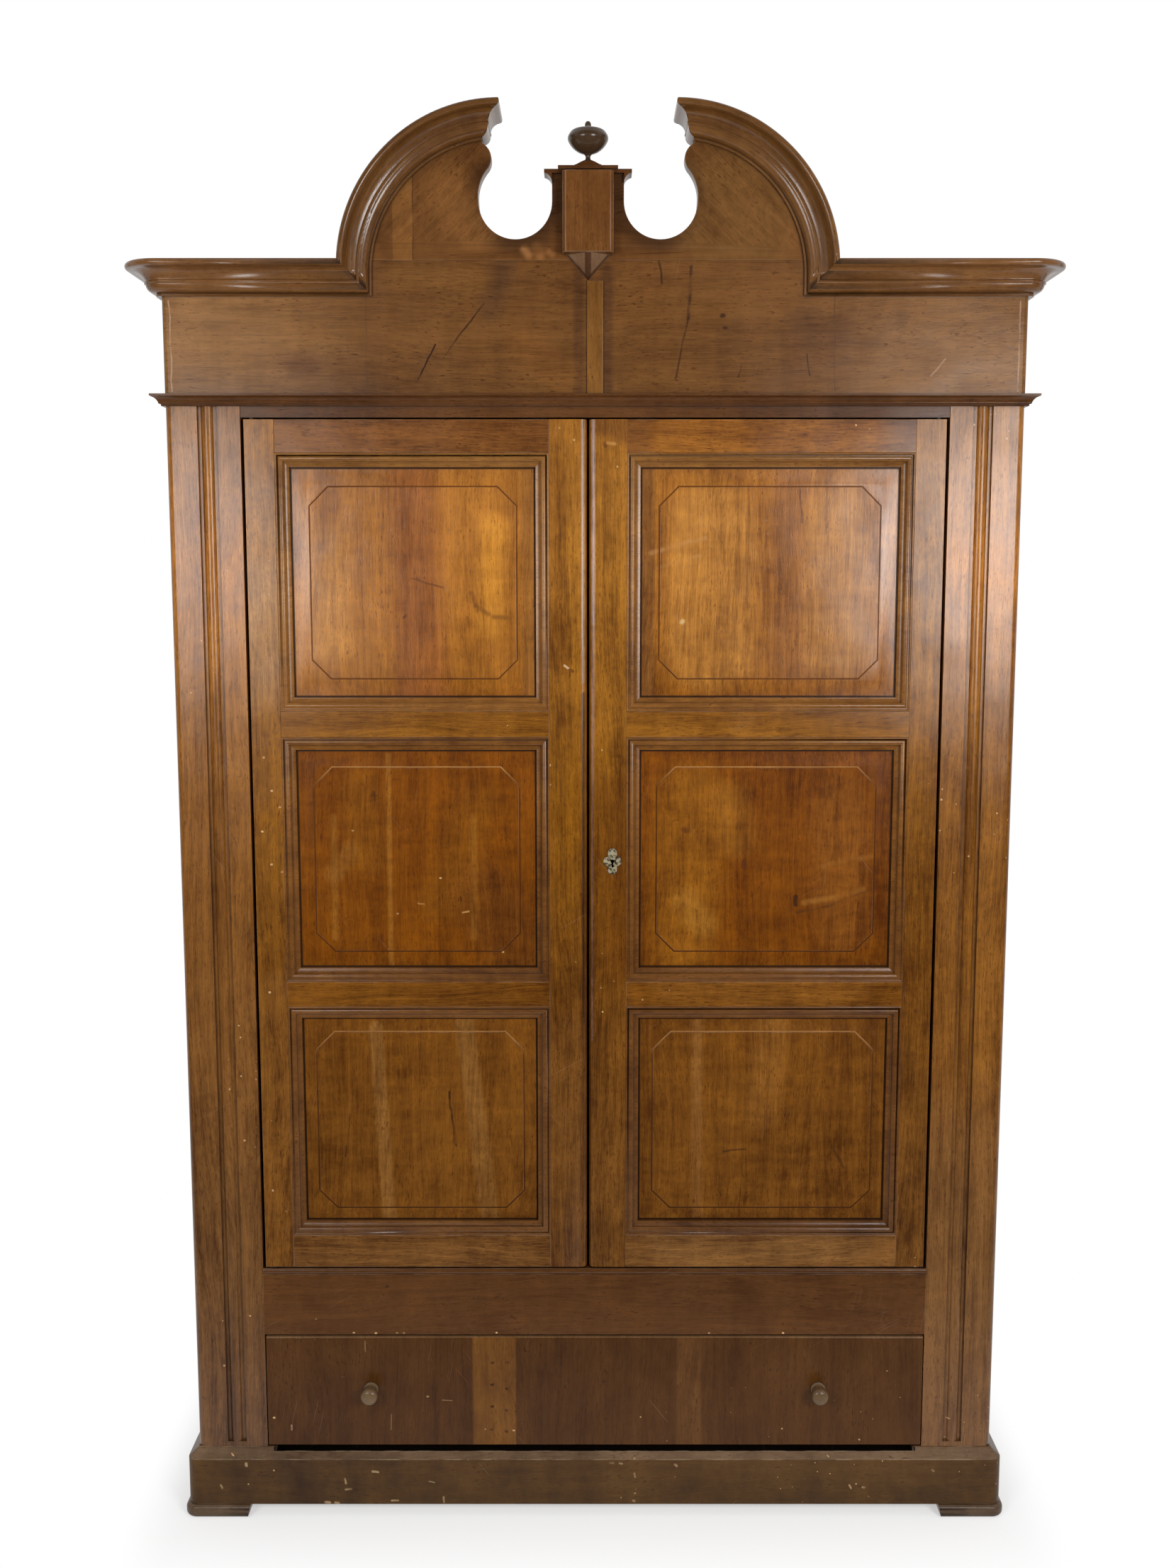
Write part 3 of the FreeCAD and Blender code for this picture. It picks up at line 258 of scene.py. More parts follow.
def line_mask(n, at, start, end, reach, soft):
    """1 on a line between two points (x, z) of the front, fading to 0 past its reach."""
    foot = Vector((start[0], 0.0, start[1]))
    run = Vector((end[0], 0.0, end[1])) - foot
    way = run.normalized()
    flat = n.stretch(at, (1.0, 0.0, 1.0))
    off = n.node("VectorMath", {0: flat, 1: foot}, operation="SUBTRACT").outputs[0]
    along = n.node("VectorMath", {0: off, 1: way}, operation="DOT_PRODUCT").outputs[1]
    along = n.math("MINIMUM", n.math("MAXIMUM", along, 0.0), run.length)
    near = n.node("VectorMath", {0: way, 3: along}, operation="SCALE").outputs[0]
    gap = n.node("VectorMath", {0: off, 1: near}, operation="SUBTRACT").outputs[0]
    gap = n.node("VectorMath", {0: gap}, operation="LENGTH").outputs[1]
    return n.spread(gap, reach, reach + soft, 1.0, 0.0)


# Woods

def front_mask(n):
    """1 where a surface looks to the front, up or down, and 0 where it looks sideways or back."""
    way = n.node("SeparateXYZ", {0: n.coordinates["Normal"]}).outputs
    turned = n.math("MAXIMUM", n.math("ABSOLUTE", way[0]), way[1])
    return n.spread(turned, 0.55, 0.80, 1.0, 0.0)


def lay_lines(n, colour, rows, at, front, fade=1.0):
    """Lays lines of other colours over a colour, where the surface looks to the front.

    A row is (start, end, reach, soft, colour, strength).
    """
    laid = colour
    for start, end, reach, soft, tint, strength in rows:
        mask = n.math("MULTIPLY", line_mask(n, at, start, end, reach, soft), strength)
        laid = n.mix(n.math("MULTIPLY", mask, fade), laid, srgb(*tint))
    return n.mix(front, colour, laid)


def scratch(n, colour, tint, strength):
    """Draws fine scratches in a few directions over a colour, here and there."""
    for turn, seed in SCRATCH_TURNS:
        turned = n.node("VectorRotate", {"Vector": n.place, "Angle": turn}, rotation_type="Y_AXIS")
        moved = n.shift(turned.outputs[0], (seed, seed, seed))
        lines = n.spread(n.layer("scratches", moved), 0.74, 0.78)
        some = n.spread(n.layer("some_scratches", moved), 0.52, 0.66)
        mask = n.math("MULTIPLY", n.math("MULTIPLY", lines, some), strength)
        colour = n.mix(mask, colour, srgb(*tint))
    return colour


def speckle(n, colour, at, amount):
    """Puts specks of old paint on a colour, in crowds and of many sizes."""
    axes = n.node("SeparateXYZ", {0: at}).outputs
    flat = n.node("CombineXYZ", {0: n.math("ADD", axes[0], axes[1]), 1: axes[2]}).outputs[0]
    cells = n.node("TexVoronoi", {"Vector": flat, "Scale": 42.0}, voronoi_dimensions="2D")
    pick = n.node("SeparateColor", {0: cells.outputs["Color"]}).outputs
    shrink = n.math("ADD", 12.0, n.math("MULTIPLY", pick[1], 44.0))
    far = n.math("DIVIDE", cells.outputs["Distance"], shrink)
    dot = n.spread(far, 0.0008, 0.0018, 1.0, 0.0)
    crowd = n.spread(n.layer("crowd", n.place), 0.50, 0.62, 1.0, 1.0 - amount)
    mask = n.math("MULTIPLY", dot, n.math("GREATER_THAN", pick[0], crowd))
    mask = n.math("MULTIPLY", mask, n.math("ADD", 0.3, pick[2]))
    return n.mix(mask, colour, srgb(*PAINT_SPECK))


def swing(n, value, amount):
    """A value's departure from 0.5, made larger or smaller."""
    return n.math("MULTIPLY", n.math("SUBTRACT", value, 0.5), amount)


def wood(name, stops, contrast=1.0, cloud=1.0, ripple=0.0, burl=0.0, gloss=0.25, shine=0.35,
         worn_and_glint=(158, 126, 98), wear_and_glint=0.5, dirt_and_shade=0.6, specks=0.0, scratches=0.0, patches=(), marks=()):
    """Polished wood. stops are (height, colour), which paint light as well as colour: lighter near the top,
    darker lower down; patches are lines under the grain, marks lines over it.
    """
    n = Nodes(bpy.data.materials.new(name))
    grain = n.attribute("grain", "Vector")
    tone = n.attribute("tone", "Fac")
    edge = n.attribute("edge", "Fac")

    # The figure
    sway = n.spread(n.layer("drift", grain), 0.2, 0.8, -0.02, 0.02)
    bent = n.shift(grain, n.node("CombineXYZ", {1: sway, 2: sway}).outputs[0])
    bands = n.layer("bands", bent)
    streaks = n.layer("streaks", bent)
    fibres = n.layer("fibres", bent)
    pores = n.spread(n.layer("pores", bent), 0.60, 0.74)
    waves = n.layer("waves", grain)
    folded = n.stretch(n.layer("folds", grain), (0.09, 0.09, 0.09))
    curls = n.layer("curls", n.shift(grain, folded))
    clouds = n.layer("clouds", n.place)
    blots = n.layer("blots", n.place)
    flecks = n.spread(n.layer("flecks", bent), 0.62, 0.70)
    flecks = n.math("MULTIPLY", flecks, n.spread(blots, 0.42, 0.62, 0.0, 0.75))
    level = n.math("ADD", 0.5, swing(n, bands, 1.25 * contrast))
    for value, amount in ((streaks, contrast), (waves, ripple), (curls, burl),
                          (clouds, cloud), (blots, 1.1 * cloud), (fibres, contrast)):
        level = n.math("ADD", level, swing(n, value, amount))
    level = n.math("ADD", level, n.math("MULTIPLY", tone, 0.10), clamp=True)

    # The colour under it, by height: partly the finish's own change, partly painted light that is brighter
    # near the top
    height = n.node("SeparateXYZ", {0: n.place}).outputs[2]
    share = n.math("DIVIDE", height, RAMP_HEIGHT)
    base = n.ramp(share, [(z / RAMP_HEIGHT, srgb(*colour)) for z, colour in stops])
    front = front_mask(n)
    base = lay_lines(n, base, patches, n.place, front)
    dark = n.mix(1.0, base, DARK_FIGURE, "MULTIPLY")
    light = n.mix(1.0, base, LIGHT_FIGURE, "MULTIPLY")
    colour = n.mix(level, dark, light)
    colour = n.mix(n.math("MULTIPLY", pores, 0.40 * contrast), colour, PORE, "MULTIPLY")
    colour = n.mix(flecks, colour, FLECK, "MULTIPLY")

    # What lies on it: marks, scratches, specks, soiling with painted shade in the hollows, and the abraded
    # arrises with painted highlights
    wobble = n.node("TexNoise", {"Vector": n.place, "Scale": 38.0, "Detail": 2.0}).outputs["Color"]
    wobble = n.shift(n.place, n.stretch(n.shift(wobble, (-0.5, -0.5, -0.5)), (WAVER, WAVER, WAVER)))
    fade = n.spread(n.layer("fade", n.place), 0.36, 0.56, 0.35, 1.0)
    colour = lay_lines(n, colour, marks, wobble, front, fade)
    if scratches:
        colour = scratch(n, colour, worn_and_glint, scratches)
    if specks:
        colour = speckle(n, colour, wobble, specks)
    # Soiling and painted shade: the colour darkens where ambient occlusion finds hollows, creases and
    # corners
    open_air = n.node("AmbientOcclusion", {"Distance": HOLLOW_REACH}, samples=6).outputs["AO"]
    grime_and_shade = n.spread(open_air, 0.90, 0.35, 0.0, dirt_and_shade)
    grime_and_shade = n.math("MULTIPLY", grime_and_shade, n.spread(blots, 0.2, 0.6, 0.6, 1.0))
    colour = n.mix(grime_and_shade, colour, srgb(*GRIME_AND_SHADE))
    # Lighter arrises: partly real abrasion, partly painted highlights where the rounded edges catch the
    # light
    rubbed_and_glint = n.math("MULTIPLY", edge, n.spread(n.layer("rubbed_and_glint", n.place), 0.42, 0.62, 0.12, wear_and_glint))
    colour = n.mix(rubbed_and_glint, colour, srgb(*worn_and_glint))

    # The polish
    rough = n.math("ADD", gloss, swing(n, clouds, 0.16))
    rough = n.math("ADD", rough, n.math("MULTIPLY", grime_and_shade, 0.25))
    ridge = n.math("ADD", n.math("MULTIPLY", fibres, 0.35), n.math("MULTIPLY", streaks, 0.5))
    ridge = n.math("SUBTRACT", ridge, n.math("MULTIPLY", pores, 0.7))
    fine = n.node("Bump", {"Strength": 0.3, "Distance": 0.00015, "Height": ridge}).outputs[0]
    sag = n.layer("sag", n.place)
    bump = n.node("Bump", {"Strength": 0.5, "Distance": 0.005, "Height": sag, "Normal": fine}).outputs[0]
    return n.finish(Base_Color=colour, Roughness=rough, Specular_IOR_Level=shine, Normal=bump)


def metal(name, colour, rust, rough, shine, fine=38.0):
    """Dull metal with spots of rust or tarnish."""
    n = Nodes(bpy.data.materials.new(name))
    spots = n.noise(n.place, (160.0, 160.0, 160.0), 4.0, 0.65)
    tarnish = n.noise(n.place, (fine, fine, fine), 3.0, 0.6)
    tint = n.mix(n.spread(tarnish, 0.42, 0.60), srgb(*colour), srgb(*rust))
    bump = n.node("Bump", {"Strength": 0.3, "Distance": 0.0003, "Height": spots}).outputs[0]
    dull = n.spread(spots, 0.3, 0.7, rough, rough + 0.25)
    return n.finish(Base_Color=tint, Metallic=shine, Roughness=dull, Normal=bump)


# Colours by height: partly the finish's own colour, partly painted light and sheen, brightest near 1.75 m
# and darker towards the bottom
DOOR_STOPS = (
    (0.50, (107, 66, 22)),
    (0.95, (109, 65, 15)),
    (1.30, (121, 73, 9)),
    (1.75, (149, 95, 28)),
    (1.98, (140, 88, 28)),
)
RAIL_STOPS = (
    (0.50, (116, 75, 34)),
    (0.98, (112, 66, 13)),
    (1.46, (126, 77, 17)),
    (1.96, (112, 66, 25)),
)
PANEL_STOPS = (
    (0.55, (111, 67, 19)),
    (0.98, (111, 65, 14)),
    (1.05, (110, 58, 2)),
    (1.46, (116, 61, 3)),
    (1.55, (146, 89, 26)),
    (1.70, (160, 99, 33)),
    (1.85, (158, 98, 34)),
    (1.95, (140, 86, 32)),
)
# The field lines turn pale at the top of the lower and middle fields: a painted highlight on the field's
# upper edge
LINE_STOPS = (
    (0.58, (66, 36, 14)),
    (0.87, (88, 50, 20)),
    (0.90, (160, 112, 66)),
    (1.00, (72, 38, 12)),
    (1.35, (92, 52, 14)),
    (1.39, (166, 116, 66)),
    (1.46, (100, 56, 18)),
    (1.95, (106, 60, 20)),
)
POST_STOPS = (
    (0.15, (108, 71, 40)),
    (0.45, (110, 72, 36)),
    (1.20, (116, 71, 25)),
    (1.50, (138, 86, 31)),
    (1.75, (168, 104, 36)),
    (2.00, (138, 88, 36)),
)
MOULDING_STOPS = (
    (0.50, (102, 64, 30)),
    (0.95, (104, 63, 24)),
    (1.30, (116, 71, 24)),
    (1.75, (148, 98, 46)),
    (1.98, (122, 80, 36)),
)


def dots(tint, size, *places):
    """Marks the size of a drop of paint or a nail head, at places (x, z) of the front."""
    return tuple(((x, z), (x + size, z), size, DOT_SOFT, tint, DOT_STRENGTH) for x, z in places)


DOT_SOFT = 0.0014
DOT_STRENGTH = 0.9
CHIP_SOFT = 0.0016
PALE_DOT = (216, 176, 122)
DARK_DOT = (54, 30, 14)
CHIP = (176, 146, 108)

# Where the photograph shows them: patches of another colour under the grain, and marks over it

DOOR_PATCHES = (
    # The first four are painted light beside the meeting gap: pale bands of painted sheen on the eased
    # fronts, and lower down a dark band of painted shade
    ((-0.0185, 1.980), (-0.0185, 1.540), 0.0032, 0.0030, (140, 112, 98), 0.60),
    ((-0.0175, 1.516), (-0.0175, 0.490), 0.0030, 0.0045, (44, 24, 18), 0.80),
    ((-0.0055, 1.980), (-0.0055, 1.640), 0.0032, 0.0030, (146, 118, 112), 0.75),
    ((-0.0065, 1.634), (-0.0065, 0.900), 0.0018, 0.0024, (130, 98, 90), 0.75),
    ((0.050, 1.330), (0.060, 1.050), 0.0200, 0.0600, (94, 50, 6), 0.60),
    ((0.020, 1.975), (0.060, 1.960), 0.0100, 0.0200, (96, 54, 20), 0.60),
    ((-0.068, 1.900), (-0.062, 1.560), 0.0040, 0.0220, (124, 74, 20), 0.55),
    ((-0.575, 1.700), (-0.560, 1.550), 0.0200, 0.0600, (168, 122, 76), 0.35),
    ((-0.555, 0.980), (-0.555, 0.480), 0.0300, 0.0300, (118, 73, 24), 0.80),
    ((-0.062, 0.900), (-0.062, 0.480), 0.0300, 0.0400, (102, 62, 22), 0.60),
)
RAIL_PATCHES = (
    ((0.140, 0.530), (0.460, 0.530), 0.0300, 0.0300, (120, 82, 44), 0.50),
    ((0.140, 1.955), (0.460, 1.955), 0.0300, 0.0300, (146, 88, 24), 0.65),
    ((0.140, 1.015), (0.460, 1.015), 0.0300, 0.0300, (126, 78, 26), 0.50),
)
DOOR_MARKS = dots(
    PALE_DOT, 0.0010, (-0.564, 1.347), (-0.552, 1.319), (-0.583, 1.276), (-0.569, 1.217), (-0.551, 1.204),
    (-0.579, 1.406), (-0.578, 0.987), (-0.079, 1.394), (-0.079, 1.360), (-0.083, 1.139),
) + (
    ((-0.053, 1.566), (-0.046, 1.562), 0.0010, 0.0020, (226, 186, 140), 0.8),
    ((-0.044, 1.560), (-0.038, 1.557), 0.0012, 0.0030, (92, 46, 18), 0.8),
    ((0.016, 1.943), (0.018, 1.940), 0.0016, 0.0040, (92, 48, 16), 0.7),
    ((0.022, 1.945), (0.034, 1.943), 0.0010, 0.0030, (196, 140, 76), 0.6),
)
PANEL_PATCHES = (
    ((-0.392, 0.918), (-0.372, 0.560), 0.008, 0.008, (136, 92, 44), 0.7),
    ((-0.233, 0.930), (-0.190, 0.560), 0.012, 0.010, (130, 88, 42), 0.6),
    ((0.182, 0.930), (0.186, 0.560), 0.006, 0.008, (134, 88, 42), 0.55),
    ((0.320, 0.940), (0.300, 0.760), 0.014, 0.030, (140, 90, 36), 0.45),
    ((-0.312, 1.900), (-0.300, 1.520), 0.020, 0.045, (132, 74, 32), 0.75),
    ((-0.175, 1.800), (-0.180, 1.640), 0.010, 0.030, (198, 132, 44), 0.4),
    ((-0.455, 1.780), (-0.455, 1.600), 0.012, 0.035, (186, 126, 58), 0.5),
    ((0.335, 1.900), (0.340, 1.560), 0.010, 0.040, (140, 86, 40), 0.7),
    ((0.200, 1.800), (0.200, 1.600), 0.050, 0.050, (186, 126, 56), 0.6),
    ((0.420, 1.820), (0.420, 1.600), 0.030, 0.050, (182, 124, 58), 0.5),
    ((-0.108, 1.900), (-0.108, 1.510), 0.014, 0.010, (126, 80, 36), 0.6),
    ((0.084, 1.900), (0.084, 1.510), 0.014, 0.010, (118, 76, 38), 0.65),
    ((-0.430, 1.240), (-0.460, 1.200), 0.006, 0.020, (134, 84, 30), 0.6),
    ((-0.362, 1.410), (-0.362, 1.030), 0.0020, 0.0050, (152, 98, 34), 0.5),
    ((-0.460, 1.300), (-0.460, 1.085), 0.0020, 0.0080, (142, 91, 30), 0.45),
    ((-0.214, 1.300), (-0.214, 1.085), 0.0020, 0.0080, (146, 94, 32), 0.45),
    ((-0.412, 1.350), (-0.402, 1.230), 0.0120, 0.0400, (128, 78, 16), 0.4),
    ((-0.210, 1.320), (-0.270, 1.150), 0.0140, 0.0500, (124, 74, 14), 0.4),
    ((0.170, 1.330), (0.150, 1.080), 0.0300, 0.0600, (142, 88, 20), 0.6),
    ((0.160, 1.150), (0.190, 1.110), 0.0080, 0.0300, (158, 106, 38), 0.5),
    ((0.240, 1.330), (0.250, 1.260), 0.0100, 0.0400, (142, 90, 26), 0.5),
    ((-0.200, 1.160), (-0.130, 1.060), 0.030, 0.060, (96, 54, 16), 0.5),
    ((0.430, 1.330), (0.440, 1.100), 0.020, 0.050, (134, 80, 26), 0.45),
)
PANEL_MARKS = (
    ((-0.262, 0.800), (-0.250, 0.700), 0.0008, 0.0020, (40, 22, 12), 0.8),
    ((-0.440, 0.760), (-0.450, 0.680), 0.0008, 0.0020, (54, 30, 14), 0.7),
    ((0.232, 0.690), (0.272, 0.694), 0.0006, 0.0020, (60, 34, 16), 0.7),
    ((0.418, 0.720), (0.450, 0.660), 0.0010, 0.0030, (64, 36, 16), 0.6),
    ((-0.455, 1.835), (-0.455, 1.832), 0.0012, 0.0030, (66, 34, 16), 0.9),
    ((-0.330, 1.650), (-0.328, 1.652), 0.0012, 0.0030, (66, 34, 16), 0.9),
    ((-0.315, 1.716), (-0.262, 1.700), 0.0004, 0.0022, (96, 54, 24), 0.8),
    ((-0.213, 1.692), (-0.206, 1.668), 0.0006, 0.0050, (112, 66, 24), 0.6),
    ((-0.206, 1.668), (-0.184, 1.655), 0.0006, 0.0060, (112, 66, 24), 0.6),
    ((-0.176, 1.650), (-0.150, 1.649), 0.0010, 0.0050, (112, 66, 24), 0.6),
    ((0.098, 1.760), (0.190, 1.785), 0.0008, 0.0060, (200, 148, 90), 0.35),
    ((0.108, 1.735), (0.180, 1.755), 0.0006, 0.0050, (200, 148, 90), 0.25),
    ((0.150, 1.640), (0.152, 1.642), 0.0015, 0.0040, (214, 176, 120), 0.8),
    ((0.348, 1.900), (0.356, 1.812), 0.0006, 0.0022, (92, 50, 22), 0.8),
    ((-0.388, 1.346), (-0.387, 1.330), 0.0009, 0.0030, (44, 26, 14), 0.9),
    ((-0.392, 1.339), (-0.382, 1.338), 0.0004, 0.0030, (54, 32, 16), 0.8),
    ((0.356, 1.158), (0.355, 1.144), 0.0014, 0.0045, (56, 30, 12), 0.9),
    ((0.357, 1.130), (0.412, 1.140), 0.0006, 0.0040, (84, 46, 12), 0.8),
    ((0.412, 1.140), (0.474, 1.166), 0.0006, 0.0040, (92, 52, 16), 0.7),
    ((0.370, 1.147), (0.420, 1.156), 0.0010, 0.0080, (166, 110, 42), 0.4),
    ((0.420, 1.156), (0.474, 1.172), 0.0008, 0.0070, (158, 104, 40), 0.35),
    ((0.400, 1.212), (0.440, 1.222), 0.0008, 0.0070, (150, 96, 34), 0.35),
    ((0.440, 1.222), (0.490, 1.229), 0.0008, 0.0070, (148, 94, 34), 0.35),
    ((0.263, 1.222), (0.264, 1.212), 0.0016, 0.0060, (84, 42, 14), 0.8),
    ((0.156, 1.279), (0.162, 1.277), 0.0016, 0.0060, (92, 50, 16), 0.8),
) + dots(PALE_DOT, 0.0010, (-0.350, 1.127), (-0.164, 1.058), (-0.427, 1.276), (-0.272, 1.191)) + (
    ((-0.234, 1.129), (-0.222, 1.131), 0.0004, 0.0020, (190, 140, 80), 0.7),
    ((-0.312, 1.146), (-0.302, 1.145), 0.0004, 0.0020, (176, 126, 66), 0.6),
)
POST_PATCHES = (
    ((0.660, 1.320), (0.660, 0.950), 0.0600, 0.2000, (128, 79, 23), 0.8),
)
FRIEZE_PATCHES = (
    # The two lighter ends of the frieze are painted sheen
    ((-0.660, 2.180), (-0.660, 2.040), 0.0600, 0.2600, (138, 95, 54), 0.7),
    ((0.660, 2.180), (0.660, 2.040), 0.0600, 0.2600, (132, 90, 50), 0.6),
    ((-0.176, 2.165), (-0.150, 2.245), 0.0020, 0.0320, (84, 54, 32), 0.75),
    ((-0.505, 2.070), (-0.480, 2.071), 0.0040, 0.0240, (92, 54, 30), 0.6),
    ((0.350, 2.134), (0.410, 2.138), 0.0080, 0.0400, (92, 58, 32), 0.6),
    ((-0.028, 2.230), (-0.028, 2.030), 0.0030, 0.0100, (80, 50, 28), 0.7),
    ((0.020, 2.230), (0.020, 2.030), 0.0040, 0.0110, (80, 50, 28), 0.75),
    ((-0.330, 2.225), (-0.200, 2.215), 0.0060, 0.0300, (134, 90, 44), 0.3),
    ((-0.122, 2.100), (-0.060, 2.060), 0.0100, 0.0400, (118, 74, 34), 0.6),
)
FRIEZE_MARKS = (
    ((-0.298, 2.050), (-0.271, 2.108), 0.0006, 0.0018, (46, 26, 14), 0.95),
    ((-0.253, 2.091), (-0.188, 2.174), 0.0004, 0.0020, (52, 30, 16), 0.9),
    ((0.161, 2.234), (0.157, 2.150), 0.0008, 0.0040, (56, 34, 20), 0.75),
    ((0.157, 2.150), (0.136, 2.052), 0.0003, 0.0026, (52, 32, 18), 0.75),
    ((0.107, 2.245), (0.112, 2.207), 0.0005, 0.0026, (50, 30, 18), 0.75),
    ((0.214, 2.154), (0.216, 2.154), 0.0020, 0.0035, (48, 28, 16), 0.8),
    ((0.218, 2.135), (0.220, 2.135), 0.0012, 0.0030, (48, 28, 16), 0.7),
    ((0.248, 2.075), (0.242, 2.054), 0.0002, 0.0018, (60, 36, 20), 0.75),
    ((0.358, 2.091), (0.363, 2.056), 0.0003, 0.0018, (52, 30, 18), 0.75),
    ((0.403, 2.200), (0.406, 2.030), 0.0001, 0.0014, (72, 44, 26), 0.6),
    ((-0.385, 2.200), (-0.387, 2.030), 0.0001, 0.0014, (84, 56, 34), 0.45),
    ((0.591, 2.083), (0.568, 2.056), 0.0004, 0.0018, (176, 140, 110), 0.5),
    # Pale lines on the frieze's end arrises: partly abrasion, partly a painted highlight
    ((-0.717, 2.178), (-0.717, 2.030), 0.0004, 0.0014, (196, 160, 128), 0.6),
    ((0.716, 2.178), (0.716, 2.030), 0.0004, 0.0014, (196, 160, 128), 0.5),
)
TYMPANUM_PATCHES = (
    ((-0.322, 2.420), (-0.322, 2.246), 0.0160, 0.0020, (134, 88, 44), 0.45),
    ((-0.133, 2.341), (-0.133, 2.340), 0.0640, 0.0360, (52, 32, 20), 0.7),
    ((0.110, 2.341), (0.110, 2.340), 0.0640, 0.0360, (52, 32, 20), 0.7),
    ((-0.250, 2.360), (-0.200, 2.300), 0.0100, 0.0500, (134, 88, 46), 0.45),
    ((0.250, 2.400), (0.230, 2.280), 0.0500, 0.0800, (112, 76, 40), 0.60),
)
TYMPANUM_MARKS = (
    ((-0.305, 2.420), (-0.305, 2.246), 0.0002, 0.0014, (66, 40, 22), 0.7),
    ((-0.118, 2.263), (-0.112, 2.254), 0.0010, 0.0110, (170, 116, 68), 0.6),
    ((-0.098, 2.268), (-0.092, 2.251), 0.0010, 0.0120, (164, 110, 62), 0.5),
    ((-0.078, 2.258), (-0.072, 2.253), 0.0008, 0.0090, (156, 104, 60), 0.5),
)
DRAWER_PATCHES = (
    ((-0.184, 0.341), (-0.184, 0.131), 0.0370, 0.0050, (116, 74, 31), 0.9),
    ((0.173, 0.341), (0.173, 0.131), 0.0190, 0.0060, (98, 62, 30), 0.85),
    ((-0.600, 0.3404), (0.600, 0.3404), 0.0012, 0.0014, (132, 98, 68), 0.65),
    ((-0.420, 0.332), (-0.420, 0.312), 0.0003, 0.0012, CHIP, 0.40),
    ((-0.374, 0.190), (-0.375, 0.160), 0.0003, 0.0012, CHIP, 0.30),
    ((-0.280, 0.218), (-0.262, 0.217), 0.0003, 0.0012, CHIP, 0.45),
)
DRAWER_MARKS = dots(
    DARK_DOT, 0.0018, (-0.188, 0.291), (-0.162, 0.291), (-0.189, 0.248), (-0.163, 0.240), (-0.189, 0.205),
    (-0.163, 0.198), (-0.189, 0.160), (-0.163, 0.156),
) + dots(
    PALE_DOT, 0.0011, (-0.149, 0.159), (-0.307, 0.225), (-0.591, 0.184),
) + (
    ((-0.558, 0.168), (-0.558, 0.160), 0.0008, 0.0016, CHIP, 0.8),
)
SILL_MARKS = dots(
    PALE_DOT, 0.0009, (-0.440, 0.3478), (-0.400, 0.3476), (-0.362, 0.3480), (-0.350, 0.3476),
    (-0.180, 0.3478), (0.210, 0.3478), (0.344, 0.3476),
) + dots(DARK_DOT, 0.0015, (-0.378, 0.438))
PLINTH_PATCHES = (
    ((-0.760, 0.1195), (0.760, 0.1195), 0.0068, 0.0014, (112, 88, 70), 0.75),
    # Painted shade: the slot under the drawer front, painted near black
    ((-0.588, 0.1254), (0.588, 0.1254), 0.0033, 0.0006, (6, 3, 2), 1.0),
)
PLINTH_MARKS = tuple(
    (start, end, reach, CHIP_SOFT, CHIP, strength)
    for start, end, reach, strength in (
        ((-0.408, 0.088), (-0.397, 0.087), 0.0012, 0.9),
        ((-0.459, 0.074), (-0.458, 0.066), 0.0009, 0.9),
        ((-0.458, 0.053), (-0.448, 0.054), 0.0010, 0.9),
        ((-0.496, 0.029), (-0.488, 0.028), 0.0018, 0.8),
        ((-0.478, 0.028), (-0.472, 0.027), 0.0014, 0.7),
        ((-0.374, 0.031), (-0.362, 0.031), 0.0010, 0.8),
        ((-0.278, 0.038), (-0.277, 0.028), 0.0008, 0.7),
        ((-0.688, 0.061), (-0.686, 0.056), 0.0012, 0.6),
        ((-0.641, 0.104), (-0.640, 0.100), 0.0018, 0.8),
        ((-0.304, 0.069), (-0.294, 0.067), 0.0003, 0.6),
        ((0.028, 0.105), (0.034, 0.105), 0.0008, 0.7),
        ((0.046, 0.105), (0.050, 0.104), 0.0008, 0.7),
        ((0.073, 0.086), (0.075, 0.078), 0.0008, 0.5),
        ((0.071, 0.031), (0.073, 0.030), 0.0014, 0.6),
        ((0.147, 0.102), (0.150, 0.100), 0.0016, 0.8),
        ((0.468, 0.062), (0.471, 0.056), 0.0008, 0.9),
        ((0.494, 0.058), (0.497, 0.057), 0.0014, 0.9),
        ((0.620, 0.092), (0.623, 0.089), 0.0010, 0.7),
    )
)
# Painted shade on the pendant: a dark middle and a dark V along the edges of its facets
PENDANT_SHADE_PATCHES = (
    ((-0.012, 2.262), (-0.012, 2.205), 0.0035, 0.0030, (74, 44, 22), 0.9),
    ((-0.052, 2.256), (-0.012, 2.212), 0.0020, 0.0030, (60, 36, 20), 0.85),
    ((0.028, 2.256), (-0.012, 2.212), 0.0020, 0.0030, (60, 36, 20), 0.85),
)

